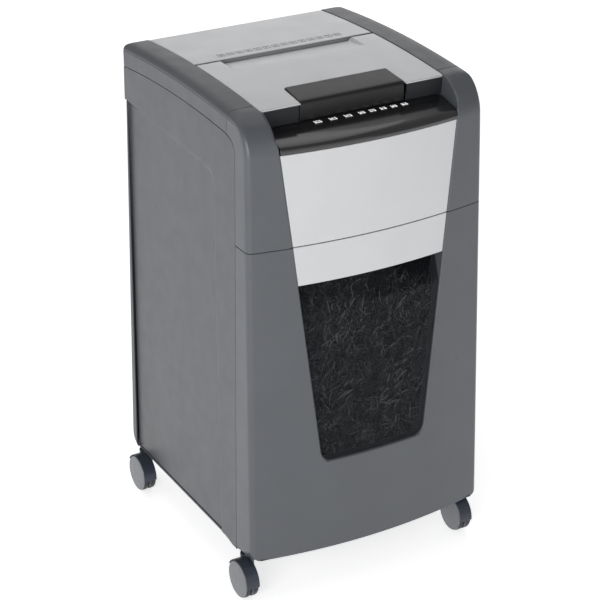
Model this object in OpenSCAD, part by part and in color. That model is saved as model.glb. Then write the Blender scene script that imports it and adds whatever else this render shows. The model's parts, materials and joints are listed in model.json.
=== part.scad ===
// Office paper shredder with an automatic feed lid, on four twin-wheel casters.
// Millimetres. +Z is up, -Y is the front with the bin, the origin is on the floor
// under the middle of the cabinet.

/* [Cabinet] */
// width across the side panels at the split between head and bin
body_w = 380; // [300:1:480]
// front face to middle of the machine at the split height
front_y = 199.8; // [150:0.1:260]
// rear face of the head to the middle of the machine
rear_y = 208; // [150:0.5:260]
// height of the arched top at its peak
top_z = 740.9; // [600:0.1:900]
// radius of the arch of the top, seen from the side
arch_r = 2050; // [800:10:6000]
// peak of the arch behind the middle of the machine
arch_y = 28; // [-60:1:100]
// height of the split between the head and the bin front
split_z = 549; // [400:1:700]
// underside of the cabinet and of the bin front
bottom_z = 63; // [50:1:90]
// sideways growth of each side face per mm below the split
side_draft = 0.012; // [0:0.001:0.03]
// forward growth of the front face per mm below the split
front_draft = 0.028; // [0:0.001:0.05]
// radius of the bowed front face in plan
bow_r = 862; // [400:1:2000]
// radius of the vertical corners
corner_r = 10; // [4:0.5:30]
// radius of the lower rear edge
foot_r = 22; // [5:1:40]
// radius of the lower corners of the bin front
chin_r = 15; // [5:1:30]
// wall of the moulded shells
wall = 3; // [2:0.1:5]

/* [Top] */
// half width of the silver lid and of the rear cover
lid_half = 146.7; // [100:0.1:180]
// front edge of the lid
lid_front = 137; // [100:1:170]
// where the fixed rear cover starts
cover_front = 58; // [30:1:90]
// width of the manual feed slot
slot_w = 226; // [200:1:260]
// free gap of the manual feed slot
slot_gap = 6; // [4:0.5:10]

/* [Bin] */
// half width of the front insert at the split
insert_half = 125.6; // [90:0.1:160]
// widening of the front insert per mm of height
insert_slope = 0.117; // [0:0.001:0.3]
// top of the silver front panel
panel_top = 684; // [600:1:720]
// lower edge of the silver pull strip
strip_z = 490; // [440:1:530]
// lower edge of the window
window_z = 207; // [120:1:300]
// height where the window starts to lean back behind the pull strip
lean_z = 447; // [400:1:480]
// depth of the finger recess behind the pull strip
finger_depth = 27; // [18:0.5:50]

/* [Cutters] */
// radius of a cutting disc
disc_r = 24; // [18:0.5:40]
// centre distance of the two cutter shafts
shaft_gap = 44; // [30:1:70]
// pitch of the discs along a shaft
disc_pitch = 8; // [4:0.5:16]
// discs on one shaft
disc_n = 29; // [10:1:40]
// height of the cutter shafts
cutter_z = 600; // [560:1:640]
// position of the cutting line behind the middle of the machine
cutter_y = 40; // [0:1:80]
// gear module
gear_m = 2; // [1:0.25:3]

/* [Casters] */
// wheel diameter
wheel_d = 57; // [35:1:80]
// width over the two wheels of a caster
pair_w = 21.5; // [15:0.5:60]
// trail of the wheel axle behind the stem
trail = 16.5; // [10:0.5:40]
// sideways offset of the wheel pair from its stem
side_shift = 14.6; // [0:0.1:30]
// angle three of the casters stand at
caster_turn = 0; // [0:1:45]
// angle of the rear right caster, which has swung aside
rear_turn = 37; // [0:1:45]
// sideways position of a stem
stem_x = 185.4; // [120:0.1:190]
// position of the front stems
stem_front = -157; // [-190:1:-100]
// position of the rear stems
stem_rear = 188; // [100:1:200]

/* [Hidden] */
$fn = 48;
// clearance between neighbouring parts
gap = 0.3;
// steps of a corner arc and of half the bowed front
arc_n = 6;
bow_n = 12;
half_w = body_w / 2;
deck_z = 538;
deck_t = 3;
plate_x = 126;
plate_t = 5;
post_y = -143;
trim_y = -119;
seam_peak = 709.2;
seam_y = 22;
seam_r = 1750;
round_r = 52;
round_z = 681.4;
lid_drop = 0.6;
sheet_t = 2;
cover_t = 2.5;
cover_rear = rear_y - 1.5;
jog_z = 648;
// flat ledge of the control panel, from its start to the foot of the lid, and its keys
ledge_y = 24;
ledge_z = 700;
ledge_run = 38;
ledge_rise = 5.5;
key_y = -141.6;
emboss = 5;
// rear corner radius as a share of the front one
rear_tight = 0.3;
cut_front_y = cutter_y - shaft_gap / 2;
cut_rear_y = cutter_y + shaft_gap / 2;
sync_n = shaft_gap / gear_m;
roller_n = 40;
roller_y = -20;
roller_r = 18;
roller_z = cutter_z + sqrt(pow(gear_m * (sync_n + roller_n) / 2, 2) - pow(cut_front_y - roller_y, 2));
drive_n = 48;
pinion_n = 16;
drive_c = gear_m * (drive_n + pinion_n) / 2;
motor_tilt = -10;
motor_y = cut_rear_y + drive_c * cos(motor_tilt);
motor_z = cutter_z + drive_c * sin(motor_tilt);
motor_r = 33;
sync_x = 135;
drive_x = 150;
gear_w = 9;
shaft_r = 8;
tray_z = 662;
tray_half = slot_w / 2 + 4;
tray_t = 3;
tray_front = -129;
plate_z = 690;
hinge_y = cover_front - slot_gap - 7;
hinge_z = 730.3;
pin_r = 2.5;
lid_rear = cover_front - slot_gap;
scoop_y = 11;
scoop_drop = 4.8;
handle_half = 82;
handle_rear = -84;
handle_front = -134;
rocker_x = -92;
inlet_x = -130;
inlet_z = 600;
axle_z = wheel_d / 2;
hood_r = wheel_d / 2 + 2;
base_z = axle_z + hood_r + 0.4;
stem_z = axle_z + 16;
stem_r = 3.5;
axle_r = 2.5;
web_half = 1.9;
wheel_in = 2.3;
tub_half = 168;
tub_front = -158;
tub_rear = 188;
tub_bottom = 74;
tub_top = 522;

// half width of the cabinet at a height
function half_at(z) = half_w + side_draft * (split_z - z);
// front face in the middle at a height, rolling back over the top corner
function front_at(z) = -front_y - front_draft * (split_z - z)
    + (z > round_z ? round_r - sqrt(max(0, pow(round_r, 2) - pow(z - round_z, 2))) : 0);
// rear face at a height
function rear_at(z) = z > jog_z ? rear_y - max(0, z - 731) * 0.7 : rear_y - 5 + (jog_z - z) * 0.018;
// height of the arched top at a depth
function arch_at(y) = top_z - pow(y - arch_y, 2) / (2 * arch_r);
// line of n steps along the arch between two depths, lowered by d
function arch_line(y0, y1, n, d) =
    [for (i = [0:n]) let (y = y0 + (y1 - y0) * i / n) [y, arch_at(y) - d]];
// height of the seam between a side panel and its trim at a depth
function seam_at(y) = seam_peak - pow(y - seam_y, 2) / (2 * seam_r);
// line along that seam from a depth to behind the machine, raised by d
function seam_line(y0, d) =
    [for (i = [0:8]) let (y = y0 + (230 - y0) * i / 8) [y, seam_at(y) + d]];
// half width of the front insert at a height
function insert_at(z) = insert_half + insert_slope * (z - split_z);

// points of an arc from angle a to angle b about a centre
function arc(cx, cy, r, a, b) =
    [for (i = [0:arc_n]) [cx + r * cos(a + (b - a) * i / arc_n), cy + r * sin(a + (b - a) * i / arc_n)]];
// height of the bow above its middle, at a distance from the middle
function bow(x) = pow(x, 2) / (2 * bow_r);
// right half of the plan outline, from the middle of the front to the middle of the rear
function half_plan(h, y0, y1, r) =
    let (a = atan(h / bow_r), xs = h - r + r * sin(a), ys = y0 + bow(xs))
    concat([for (i = [0:bow_n - 1]) [xs * i / bow_n, y0 + bow(xs * i / bow_n)]],
        arc(h - r, ys + r * cos(a), r, a - 90, 0),
        arc(h - r * rear_tight, y1 - r * rear_tight, r * rear_tight, 0, 90));

// plan outline of the cabinet at a height; d is the inset and f an extra inset of the front
module plan(z, d = 0, f = 0) {
    right = half_plan(half_at(z) - d, front_at(z) + d + f, rear_at(z) - d, max(1, corner_r - d));
    polygon(concat(right, [for (i = [len(right) - 1:-1:1]) [-right[i][0], right[i][1]]]));
}

// solid between two plans
module block(z0, z1, d = 0, f0 = 0, f1 = 0) {
    hull() {
        translate([0, 0, z0]) linear_extrude(0.01) plan(z0, d, f0);
        translate([0, 0, z1 - 0.01]) linear_extrude(0.01) plan(z1, d, f1);
    }
}

// everything below the arched top with its soft side edges, d below the surface
module crown(d = 0) {
    x = half_at(top_z);
    hull() {
        for (k = [[0, 19], [0.25, 14], [1.6, 6], [8, 0.4]])
            along_x(k[1] + d - x, x - k[1] - d)
                polygon(concat([[-260, 500]], arch_line(-180, 240, 12, k[0] + d), [[260, 500]]));
        along_x(d - x - 3, x + 3 - d) polygon([[-260, 500], [-260, 540], [260, 540], [260, 500]]);
    }
}

// the head as one solid with its rolled top front
module head(d = 0) {
    intersection() {
        hull() {
            for (z = [split_z, round_z, round_z + 15, round_z + 26, round_z + 35, round_z + 43,
                    round_z + 48.5, round_z + round_r, top_z + 4])
                translate([0, 0, z - (z == split_z ? 0 : d + 0.01)]) linear_extrude(0.01)
                    plan(z, d);
        }
        crown(d);
    }
}

// shape drawn in Y and Z, extruded along X
module along_x(x0, x1) {
    translate([x0, 0, 0]) rotate([90, 0, 90]) linear_extrude(x1 - x0) children();
}

// shape drawn in X and Z, extruded along Y
module along_y(y0, y1) {
    translate([0, y1, 0]) rotate([90, 0, 0]) linear_extrude(y1 - y0) children();
}

// mirrored copy on the other side
module both() {
    children();
    mirror([1, 0, 0]) children();
}

// side profile that rounds the lower rear edge of the cabinet
module rear_round() {
    r = foot_r;
    y = rear_at(bottom_z + r);
    polygon(concat([[-240, bottom_z]], arc(y - r, bottom_z + r, r, -90, 0),
        [[y + 20, bottom_z + r + 1], [y + 20, 900], [-240, 900]]));
}

// trapezoid of the front insert between two heights, widened by d
module insert_shape(z0, z1, d = 0) {
    polygon([[-insert_at(z0) - d, z0], [insert_at(z0) + d, z0], [insert_at(z1) + d, z1],
        [-insert_at(z1) - d, z1]]);
}

// spur gear around the X axis starting at x, with a bore
module gear(n, x, w, bore, phase = 0) {
    rp = gear_m * n / 2;
    step = 360 / n;
    translate([x, 0, 0]) rotate([90, 0, 90]) linear_extrude(w) difference() {
        union() {
            circle(r = rp - 1.25 * gear_m, $fn = 96);
            for (i = [0:n - 1]) rotate(i * step + phase)
                polygon([[rp - 1.5 * gear_m, -gear_m * 0.98], [rp, -gear_m * 0.66],
                    [rp + 0.9 * gear_m, -gear_m * 0.3], [rp + 0.9 * gear_m, gear_m * 0.3],
                    [rp, gear_m * 0.66], [rp - 1.5 * gear_m, gear_m * 0.98]]);
        }
        circle(r = bore, $fn = 48);
    }
}

// turn that meshes a gear of n2 teeth with one of n1 teeth turned by p1, which lies at angle a from it
function mesh_phase(a, n1, p1, n2) =
    let (t = round((a - p1) * n1 / 360) * 360 / n1 + p1)
    a + 180 - (t - a) * n1 / n2 + 180 / n2;

module base() {
    color("#3a3c40") difference() {
        intersection() {
            block(base_z, 62, 4, 18, 18);
            translate([-220, -176, 50]) cube([440, 373, 20]);
        }
        both() for (y = [stem_front, stem_rear])
            translate([stem_x, y, 50]) cylinder(h = 40, r = stem_r + 0.05);
    }
}

// outline of a side panel in Y and Z
module side_shape() {
    polygon(concat([[post_y + gap, bottom_z], [post_y + gap, 684], [post_y + 2, 690],
        [post_y + 6, 695], [post_y + 12, 699]], seam_line(trim_y, -gap), [[230, bottom_z]]));
}

module side_panel() {
    color("#55585c") intersection() {
        difference() {
            union() {
                block(bottom_z, jog_z, 0);
                block(jog_z, 724, 0);
            }
            block(bottom_z - 1, jog_z + 0.02, wall + emboss);
            block(jog_z, 725, wall + emboss);
            intersection() {
                difference() {
                    translate([-220, -120, 0]) cube([440, 400, jog_z + 10]);
                    block(bottom_z - 1, jog_z + 10, emboss);
                }
                along_x(-240, 240) polygon([[-93, bottom_z - 2], [-81, 440], [-79, 612],
                    [-74, 626], [-60, 634], [230, jog_z], [230, bottom_z - 2]]);
            }
        }
        along_x(-240, -half_w + 30) side_shape();
        along_x(-240, 240) rear_round();
        translate([-240, post_y - 1, 0]) cube([70, rear_y - post_y - 8, 800]);
    }
}
module side_left() { side_panel(); }
module side_right() { mirror([1, 0, 0]) side_panel(); }

module rear_panel() {
    color("#4b4e52") difference() {
        intersection() {
            difference() {
                block(bottom_z, jog_z, 1);
                block(bottom_z, jog_z, 1 + wall);
            }
            translate([-230, rear_y - 9 + gap, bottom_z + gap])
                cube([460, 40, jog_z - bottom_z - 2 * gap]);
            along_x(-240, 240) rear_round();
        }
        for (z = [420:14:520], x = [-90, 0, 90])
            translate([x - 32, rear_y - 20, z]) cube([64, 40, 5]);
        translate([inlet_x - 14.2, rear_y - 20, inlet_z - 12.2]) cube([28.4, 40, 24.4]);
        translate([rocker_x - 11.2, rear_y - 20, inlet_z - 15.2]) cube([22.4, 40, 30.4]);
        screw_spots() cylinder(h = 40, r = 2.1);
    }
}

// screw places on the rear panel, children drawn along -Y from outside
module screw_spots() {
    for (x = [-160, 160], z = [110, 280, 450, 620])
        translate([x, rear_at(z) + 4, z]) rotate([90, 0, 0]) children();
}

module frame_screws() {
    color("#9a9ca0") screw_spots() difference() {
        union() {
            translate([0, 0, 2]) cylinder(h = 2.4, r = 4);
            translate([0, 0, 4]) cylinder(h = 12, r = 1.95);
        }
        for (a = [0, 90]) rotate(a) translate([-2.4, -0.5, 1]) cube([4.8, 1, 2.2]);
    }
}

module head_rear() {
    color("#4b4e52") intersection() {
        difference() {
            head(0);
            head(wall);
        }
        along_y(rear_y - 9 + gap, rear_y + 9)
            polygon([[-230, jog_z + gap], [230, jog_z + gap], [230, 699], [lid_half - gap, 699],
                [lid_half - gap, 729.5], [-lid_half + gap, 729.5], [-lid_half + gap, 699],
                [-230, 699]]);
    }
}

module trim() {
    color("#4a4d52") difference() {
        union() {
            intersection() {
                difference() {
                    head(0);
                    head(wall);
                }
                along_x(-240, -lid_half - gap) polygon(concat(seam_line(trim_y + gap, gap),
                    [[230, 760], [trim_y + gap, 760]]));
            }
            intersection() {
                head(1);
                translate([-lid_half - gap - 3, trim_y + gap, 702])
                    cube([3, rear_y - trim_y - 9, 60]);
            }
        }
        translate([-160, hinge_y, hinge_z]) rotate([0, 90, 0]) cylinder(h = 30, r = pin_r + 0.06);
    }
}
module trim_left() { trim(); }
module trim_right() { mirror([1, 0, 0]) trim(); }

module post() {
    color("#55585c") difference() {
        intersection() {
            union() {
                difference() {
                    head(0);
                    head(wall);
                }
                translate([-lid_half - gap - 2.5, -190, 640]) cube([2.5, 80, 100]);
            }
            head(0);
            along_y(-260, trim_y - gap) polygon([[-230, split_z + gap], [-insert_at(split_z),
                split_z + gap], [-insert_at(702), 702], [-lid_half - gap, 709],
                [-lid_half - gap, 760], [-230, 760]]);
        }
        along_x(-240, -170) offset(delta = 2 * gap) side_shape();
    }
}
module post_left() { post(); }
module post_right() { mirror([1, 0, 0]) post(); }

module front_panel() {
    color("#c4c6c8") intersection() {
        difference() {
            block(split_z + gap, panel_top, 2);
            block(split_z - 1, panel_top + 1, 4.5);
        }
        along_y(-240, -150) insert_shape(split_z + gap, panel_top, -0.6);
    }
}

module control_panel() {
    color("#141416") difference() {
        intersection() {
            hull() for (k = [[panel_top + 0.6, 1.2], [689, 1], [693, 3.5], [697, 10],
                    [ledge_z, ledge_y], [ledge_z + ledge_rise, ledge_y + ledge_run]])
                translate([0, 0, k[0]]) linear_extrude(0.01) plan(round_z, 0, k[1]);
            translate([-insert_at(panel_top) + 0.3, -230, 660])
                cube([2 * insert_at(panel_top) - 0.6, 230 - 136, 80]);
        }
        translate([-130, -172, 660]) cube([260, 34, 36.5]);
        tiles(key_x(), 10.6, 0.2);
        tiles(lamp_x(), 8.6, 0.2);
    }
}
function key_x() = [-60.4, -36.1, -12.6];
function lamp_x() = [9.7, 26, 44.3, 62.6, 78.8];

// row of flat tiles let into the rising top of the control panel; d grows them for the pockets
module tiles(xs, w, d = 0) {
    z = ledge_z + (key_y - front_at(round_z) - ledge_y) * ledge_rise / ledge_run;
    for (x = xs) translate([x, key_y, z]) rotate([atan(ledge_rise / ledge_run), 0, 0])
        translate([-w / 2 - d, -4.3 - d, -0.6 - d])
            cube([w + 2 * d, 8.6 + 2 * d, 0.6 + 10 * d]);
}

module touch_keys() {
    color("#2a2a2e") tiles(key_x(), 10.6);
}

module indicators() {
    color("#2a2a2e") tiles(lamp_x(), 8.6);
}

module rear_cover() {
    x = lid_half - gap;
    outside = arch_line(cover_front, cover_rear, 3, lid_drop);
    inside = arch_line(cover_rear, cover_front, 3, lid_drop + cover_t);
    color("#c4c6c8") {
        along_x(-x, x) polygon(concat(outside, inside));
        intersection() {
            union() {
                translate([-x, cover_front + gap, 700]) cube([2 * x, 2, 50]);
                for (k = [-100, 0, 100]) translate([k - 1, cover_front + 2, 715])
                    cube([2, 130, 30]);
            }
            along_x(-x, x) polygon(concat(arch_line(cover_front, cover_rear, 3, lid_drop + 1),
                [[cover_rear, 690], [cover_front, 690]]));
        }
    }
}

module feed_tray() {
    inner = 2 * tray_half;
    color("#2b2d30") difference() {
        union() {
            translate([-tray_half - tray_t, tray_front, tray_z])
                cube([inner + 2 * tray_t, 30 - tray_front, tray_t]);
            for (s = [-1, 1]) {
                translate([s * (tray_half + tray_t / 2) - tray_t / 2, tray_front, tray_z])
                    cube([tray_t, 50 - tray_front, 46]);
                translate([s * 131 - 12, tray_front, 705]) cube([24, 50 - tray_front, tray_t]);
            }
            translate([-143, tray_front, tray_z]) cube([286, tray_t, 44]);
        }
        for (x = [-66, 0, 66]) translate([x - 15, roller_y - 17, tray_z - 1]) cube([30, 34, 10]);
    }
}

module deck() {
    color("#9da1a5") difference() {
        translate([-178, -140, deck_z]) cube([356, 336, deck_t]);
        translate([-122, -12, deck_z - 1]) cube([244, 104, 10]);
    }
}

// end plate of the cutter block; the right one carries the motor
module end_plate(x, with_motor) {
    color("#8d9196") difference() {
        along_x(x, x + plate_t) polygon(with_motor ?
            [[-44, 541.2], [-44, 652], [-36, 661], [-4, 661], [8, 640], [90, 640], [172, 634],
                [172, 541.2]] :
            [[-44, 541.2], [-44, 652], [-36, 661], [-4, 661], [8, 640], [96, 640], [96, 541.2]]);
        for (y = [cut_front_y, cut_rear_y]) translate([x - 5, y, cutter_z]) rotate([0, 90, 0])
            cylinder(h = 30, r = 13);
        translate([x - 5, roller_y, roller_z]) rotate([0, 90, 0]) cylinder(h = 30, r = 6.05);
        translate([x - 5, motor_y, motor_z]) rotate([0, 90, 0]) cylinder(h = 30, r = 14);
        for (y = [-30, 84], z = [556, 628]) translate([x - 5, y, z]) rotate([0, 90, 0])
            cylinder(h = 30, r = 3.05);
    }
}
module plate_left() { end_plate(-plate_x - plate_t, false); }
module plate_right() { end_plate(plate_x, true); }

module tie_rods() {
    color("#b6b9bc") for (y = [-30, 84], z = [556, 628]) {
        translate([-plate_x - plate_t - 4, y, z]) rotate([0, 90, 0])
            cylinder(h = 2 * (plate_x + plate_t + 4), r = 3);
        for (s = [-1, 1]) translate([s * (plate_x - 3.1) - 3, y, z]) rotate([0, 90, 0])
            cylinder(h = 6, r = 5);
    }
}

module bearings() {
    color("#c9ccd0") for (s = [-1, 1], y = [cut_front_y, cut_rear_y])
        translate([s * (plate_x + plate_t / 2) - 2.5, y, cutter_z]) rotate([0, 90, 0])
            difference() {
                cylinder(h = 5, r = 12.97);
                translate([0, 0, -1]) cylinder(h = 7, r = shaft_r + 0.05);
            }
}

// combs that lift the shreds out from between the discs
module comb(y, side, shift) {
    root = y + side * 26.5;
    translate([-120, min(root, root + side * 3), 585]) cube([240, 3, 30]);
    for (i = [0:disc_n - 2]) {
        x = (i - (disc_n - 1) / 2 + 0.5) * disc_pitch + shift;
        translate([x - 1.8, min(y + side * 19, root + side * 0.5), 590])
            cube([3.6, 8, 20]);
    }
}

module strippers() {
    color("#3f4246") {
        comb(cut_front_y, -1, 0);
        comb(cut_rear_y, 1, disc_pitch / 2);
    }
}

module cutter(shift, x_end) {
    t = disc_pitch / 2 - 0.4;
    start = -(disc_n - 1) / 2 * disc_pitch + shift;
    profile = [for (i = [0:disc_n - 1]) each [[18, start + i * disc_pitch - t / 2],
        [disc_r, start + i * disc_pitch - t / 2], [disc_r, start + i * disc_pitch + t / 2],
        [18, start + i * disc_pitch + t / 2]]];
    rotate([0, 90, 0]) {
        rotate_extrude() polygon(concat([[0, start - 3], [18, start - 3]], profile,
            [[18, start + (disc_n - 1) * disc_pitch + 3],
                [0, start + (disc_n - 1) * disc_pitch + 3]]));
        translate([0, 0, -134]) cylinder(h = 134 + x_end, r = shaft_r);
    }
}

module cutter_front() {
    color("#7d8187") translate([0, cut_front_y, cutter_z]) difference() {
        cutter(0, 146);
        tooth_gaps(0);
    }
}

module cutter_rear() {
    color("#7d8187") translate([0, cut_rear_y, cutter_z]) difference() {
        cutter(disc_pitch / 2, 161);
        tooth_gaps(disc_pitch / 2);
    }
}

// notches that turn each disc into a ring of hooks
module tooth_gaps(shift) {
    for (i = [0:disc_n - 1], a = [0, 120, 240])
        translate([(i - (disc_n - 1) / 2) * disc_pitch + shift - 2.5, 0, 0])
            rotate([a + i * 24, 0, 0]) translate([0, 0, disc_r - 2.5]) cube([5, 3, 6]);
}

module gear_front() {
    color("#a9adb2") translate([0, cut_front_y, cutter_z])
        gear(sync_n, sync_x, gear_w, shaft_r + 0.02);
}

module gear_rear() {
    color("#a9adb2") translate([0, cut_rear_y, cutter_z]) {
        gear(sync_n, sync_x, gear_w, shaft_r + 0.02, mesh_phase(0, sync_n, 0, sync_n));
        translate([sync_x + gear_w - 0.01, 0, 0]) rotate([0, 90, 0]) difference() {
            cylinder(h = drive_x - sync_x - gear_w + 0.02, r = 14);
            translate([0, 0, -1]) cylinder(h = 20, r = shaft_r + 0.02);
        }
        gear(drive_n, drive_x, gear_w, shaft_r + 0.02);
    }
}

module motor() {
    color("#2f3236") translate([0, motor_y, motor_z]) rotate([0, 90, 0]) difference() {
        union() {
            translate([0, 0, 16]) cylinder(h = 104, r = motor_r);
            translate([0, 0, 10]) cylinder(h = 6.1, r = 12);
            translate([0, 0, 119.9]) cylinder(h = 5.9, r = 26);
        }
        translate([0, 0, 112]) cylinder(h = 20, r = 5.05);
        for (a = [0:30:330]) rotate(a) translate([0, 0, 26]) translate([motor_r - 1.5, -2.5, 0])
            cube([5, 5, 60]);
    }
}

module motor_shaft() {
    color("#b0b3b8") translate([0, motor_y, motor_z]) {
        rotate([0, 90, 0]) translate([0, 0, 113]) cylinder(h = 48, r = 5);
        gear(pinion_n, drive_x, gear_w, 4, mesh_phase(motor_tilt, drive_n, 0, pinion_n));
    }
}

module roller_shaft() {
    color("#b0b3b8") translate([-134, roller_y, roller_z]) rotate([0, 90, 0])
        cylinder(h = 280, r = 6);
}

module rollers() {
    color("#5a5d60") for (x = [-66, 0, 66]) translate([x - 12, roller_y, roller_z])
        rotate([0, 90, 0]) difference() {
            cylinder(h = 24, r = roller_r);
            translate([0, 0, -1]) cylinder(h = 26, r = 6.02);
            for (a = [0:20:340]) rotate(a) translate([roller_r - 1, -0.8, -1]) cube([3, 1.6, 26]);
        }
}

module roller_gear() {
    a = atan2(roller_z - cutter_z, roller_y - cut_front_y);
    color("#e4e2da") translate([0, roller_y, roller_z])
        gear(roller_n, sync_x, gear_w, 6.02, mesh_phase(a, sync_n, 0, roller_n));
}

module control_board() {
    color("#1f5a3a") {
        translate([-62, -168, 670]) cube([124, 30, 1.6]);
        for (x = [-50, -20, 12]) translate([x, -162, 671.6]) cube([16, 12, 4]);
        for (x = [36, 50]) translate([x, -152, 671.6]) cylinder(h = 9, r = 5);
    }
}

module power_board() {
    color("#1f5a3a") {
        translate([-118, 106, 552]) cube([100, 80, 1.6]);
        translate([-110, 114, 553.6]) cube([34, 30, 26]);
        for (x = [-60, -36]) translate([x, 124, 553.6]) cylinder(h = 25, r = 9);
        translate([-66, 150, 553.6]) cube([38, 6, 30]);
        for (x = [-112, -24], y = [110, 180]) translate([x, y, deck_z + deck_t + 0.2])
            cylinder(h = 10.9, r = 3);
    }
}

module mains_inlet() {
    color("#1b1b1d") {
        difference() {
            union() {
                translate([inlet_x - 14, rear_y - 26, inlet_z - 12]) cube([28, 24.5, 24]);
                translate([inlet_x - 20, rear_y - 3.5, inlet_z - 15]) cube([40, 2, 30]);
            }
            translate([inlet_x - 12, rear_y - 18, inlet_z - 8.5]) cube([24, 30, 17]);
        }
        for (x = [-7, 0, 7]) translate([inlet_x + x - 1, rear_y - 18.1, inlet_z - 3])
            cube([2, 14, 5]);
    }
}

module switch_frame() {
    color("#1b1b1d") difference() {
        union() {
            translate([rocker_x - 11, rear_y - 24, inlet_z - 15]) cube([22, 22.5, 30]);
            translate([rocker_x - 13, rear_y - 3.5, inlet_z - 17]) cube([26, 2, 34]);
        }
        translate([rocker_x - 9.2, rear_y - 21, inlet_z - 13.2]) cube([18.4, 30, 26.4]);
        translate([rocker_x - 14, rear_y - 9, inlet_z]) rotate([0, 90, 0])
            cylinder(h = 28, r = 1.56);
    }
}

module rocker() {
    color("#b3261e") translate([rocker_x, rear_y - 9, inlet_z]) {
        along_x(-8.8, 8.8) polygon([[-6, -4], [2, -11.8], [8, -11.8], [6.4, 0], [8, 11.8],
            [2, 11.8], [-6, 4]]);
        translate([-10.5, 0, 0]) rotate([0, 90, 0]) cylinder(h = 21, r = 1.5);
    }
}

module interlock() {
    color("#202225") {
        translate([150, -134, deck_z + deck_t + 0.2]) cube([10, 20, 16]);
        translate([153, -130, deck_z + deck_t + 16]) cube([4, 3, 6]);
    }
}

module bin_rails() {
    color("#a4a7ab") both() difference() {
        translate([148, -138, 62.2]) cube([14, 330, 9.5]);
        translate([151, -139, 61]) cube([8, 332, 8.5]);
    }
}

module lid_panel() {
    edge = lid_half - gap - 0.3;
    scoop = slot_w / 2 - 6;
    peak = top_z - lid_drop;
    color("#c4c6c8") {
        difference() {
            along_x(-edge, edge) polygon(concat(arch_line(-lid_front, lid_rear, 4, lid_drop),
                arch_line(lid_rear, -lid_front, 4, lid_drop + sheet_t)));
            translate([-scoop, scoop_y + 1, top_z - 5]) cube([2 * scoop, 60, 10]);
            translate([0, 0, top_z - 20]) linear_extrude(30) handle_plan(0.4);
        }
        along_x(-scoop - 1, scoop + 1) polygon([[scoop_y, peak - 0.15],
            [lid_rear, peak - scoop_drop], [lid_rear, peak - scoop_drop - 1.6],
            [scoop_y, peak - 1.9]]);
        for (s = [-1, 1]) translate([s * (scoop + 0.5) - 0.5, scoop_y, peak - scoop_drop - 1.5])
            cube([1, lid_rear - scoop_y, scoop_drop]);
    }
}

// outline of the handle seen from above
module handle_plan(d = 0) {
    polygon([[-handle_half + 2 - d, handle_rear + d], [handle_half + d, handle_rear + d],
        [handle_half + 2 + d, handle_rear - 2 + d], [handle_half + 1 + d, -150],
        [-handle_half - 1 - d, -150]]);
}

module lid_liner() {
    edge = lid_half - gap - 0.5;
    web = 716;
    long = lid_front + lid_rear - 0.6;
    color("#34373b") difference() {
        union() {
            difference() {
                translate([-edge, -lid_front + 0.4, web]) cube([2 * edge, long, top_z - web - 9.6]);
                translate([-edge + 2.5, -lid_front + 3, web + 2])
                    cube([2 * edge - 5, long - 5.4, 30]);
            }
            intersection() {
                union() {
                    translate([-edge, -lid_front + 0.4, web]) cube([2 * edge, 2.6, 30]);
                    for (s = [-1, 1]) translate([s * (edge - 1.25) - 1.25, -lid_front + 0.4, web])
                        cube([2.5, long, 30]);
                }
                along_x(-edge, edge) polygon(concat(
                    arch_line(-lid_front, lid_rear, 4, lid_drop + sheet_t + gap),
                    [[lid_rear, web], [-lid_front, web]]));
            }
            for (s = [-1, 1]) translate([s * (edge - 5) - 5, hinge_y - 6, web])
                cube([10, 12, 735 - web]);
            for (x = [-80, 80], y = [-100, -10]) translate([x, y, web]) cylinder(h = 6, r = 6);
        }
        for (x = [-80, 80], y = [-100, -10]) translate([x, y, web - 1])
            cylinder(h = 12, r = 3.06);
        both() translate([100, hinge_y, hinge_z]) rotate([0, 90, 0])
            cylinder(h = 60, r = pin_r + 0.02);
        translate([-handle_half - 4, -150, web - 1]) cube([2 * handle_half + 8, 40, 40]);
    }
}

module handle() {
    color("#1a1b1e") difference() {
        intersection() {
            translate([0, 0, 700]) linear_extrude(60) handle_plan(0);
            along_x(-120, 120) polygon([[handle_front, 704], [handle_front, 732.5],
                [handle_front + 2, 734.6], [handle_rear - 1, 739], [handle_rear, 738],
                [handle_rear, 734], [-108, 734], [-108, 718], [handle_front + 4, 718],
                [handle_front + 4, 704]]);
        }
        translate([-76, handle_front + 7, 716.1]) cube([152, 16, 14]);
    }
}

module hinge_pins() {
    color("#b6b9bc") both() translate([136, hinge_y, hinge_z]) rotate([0, 90, 0])
        cylinder(h = 14, r = pin_r);
}

module press_plate() {
    color("#2b2d30") {
        difference() {
            translate([-102, -120, plate_z]) cube([204, 132, 3]);
            for (x = [-66, 0, 66]) translate([x - 18, roller_y - 18, plate_z - 1])
                cube([36, 36, 2]);
        }
        for (x = [-80, 80], y = [-100, -10]) translate([x, y, plate_z + 2.9])
            cylinder(h = 28, r = 3);
    }
}

module press_springs() {
    color("#b6b9bc") for (x = [-80, 80], y = [-100, -10], k = [0:6])
        translate([x, y, plate_z + 4.2 + k * 3.4]) rotate_extrude() translate([4.8, 0])
            circle(r = 0.7, $fn = 16);
}

// front outline of the bin front with rounded lower corners
module chin_shape() {
    x = half_at(bottom_z + chin_r);
    right = concat([[0, bottom_z]], arc(x - chin_r, bottom_z + chin_r, chin_r, -90, 0),
        [[x + 20, bottom_z + chin_r + 1], [x + 20, 800], [0, 800]]);
    polygon(right);
    mirror([1, 0]) polygon(right);
}

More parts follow.
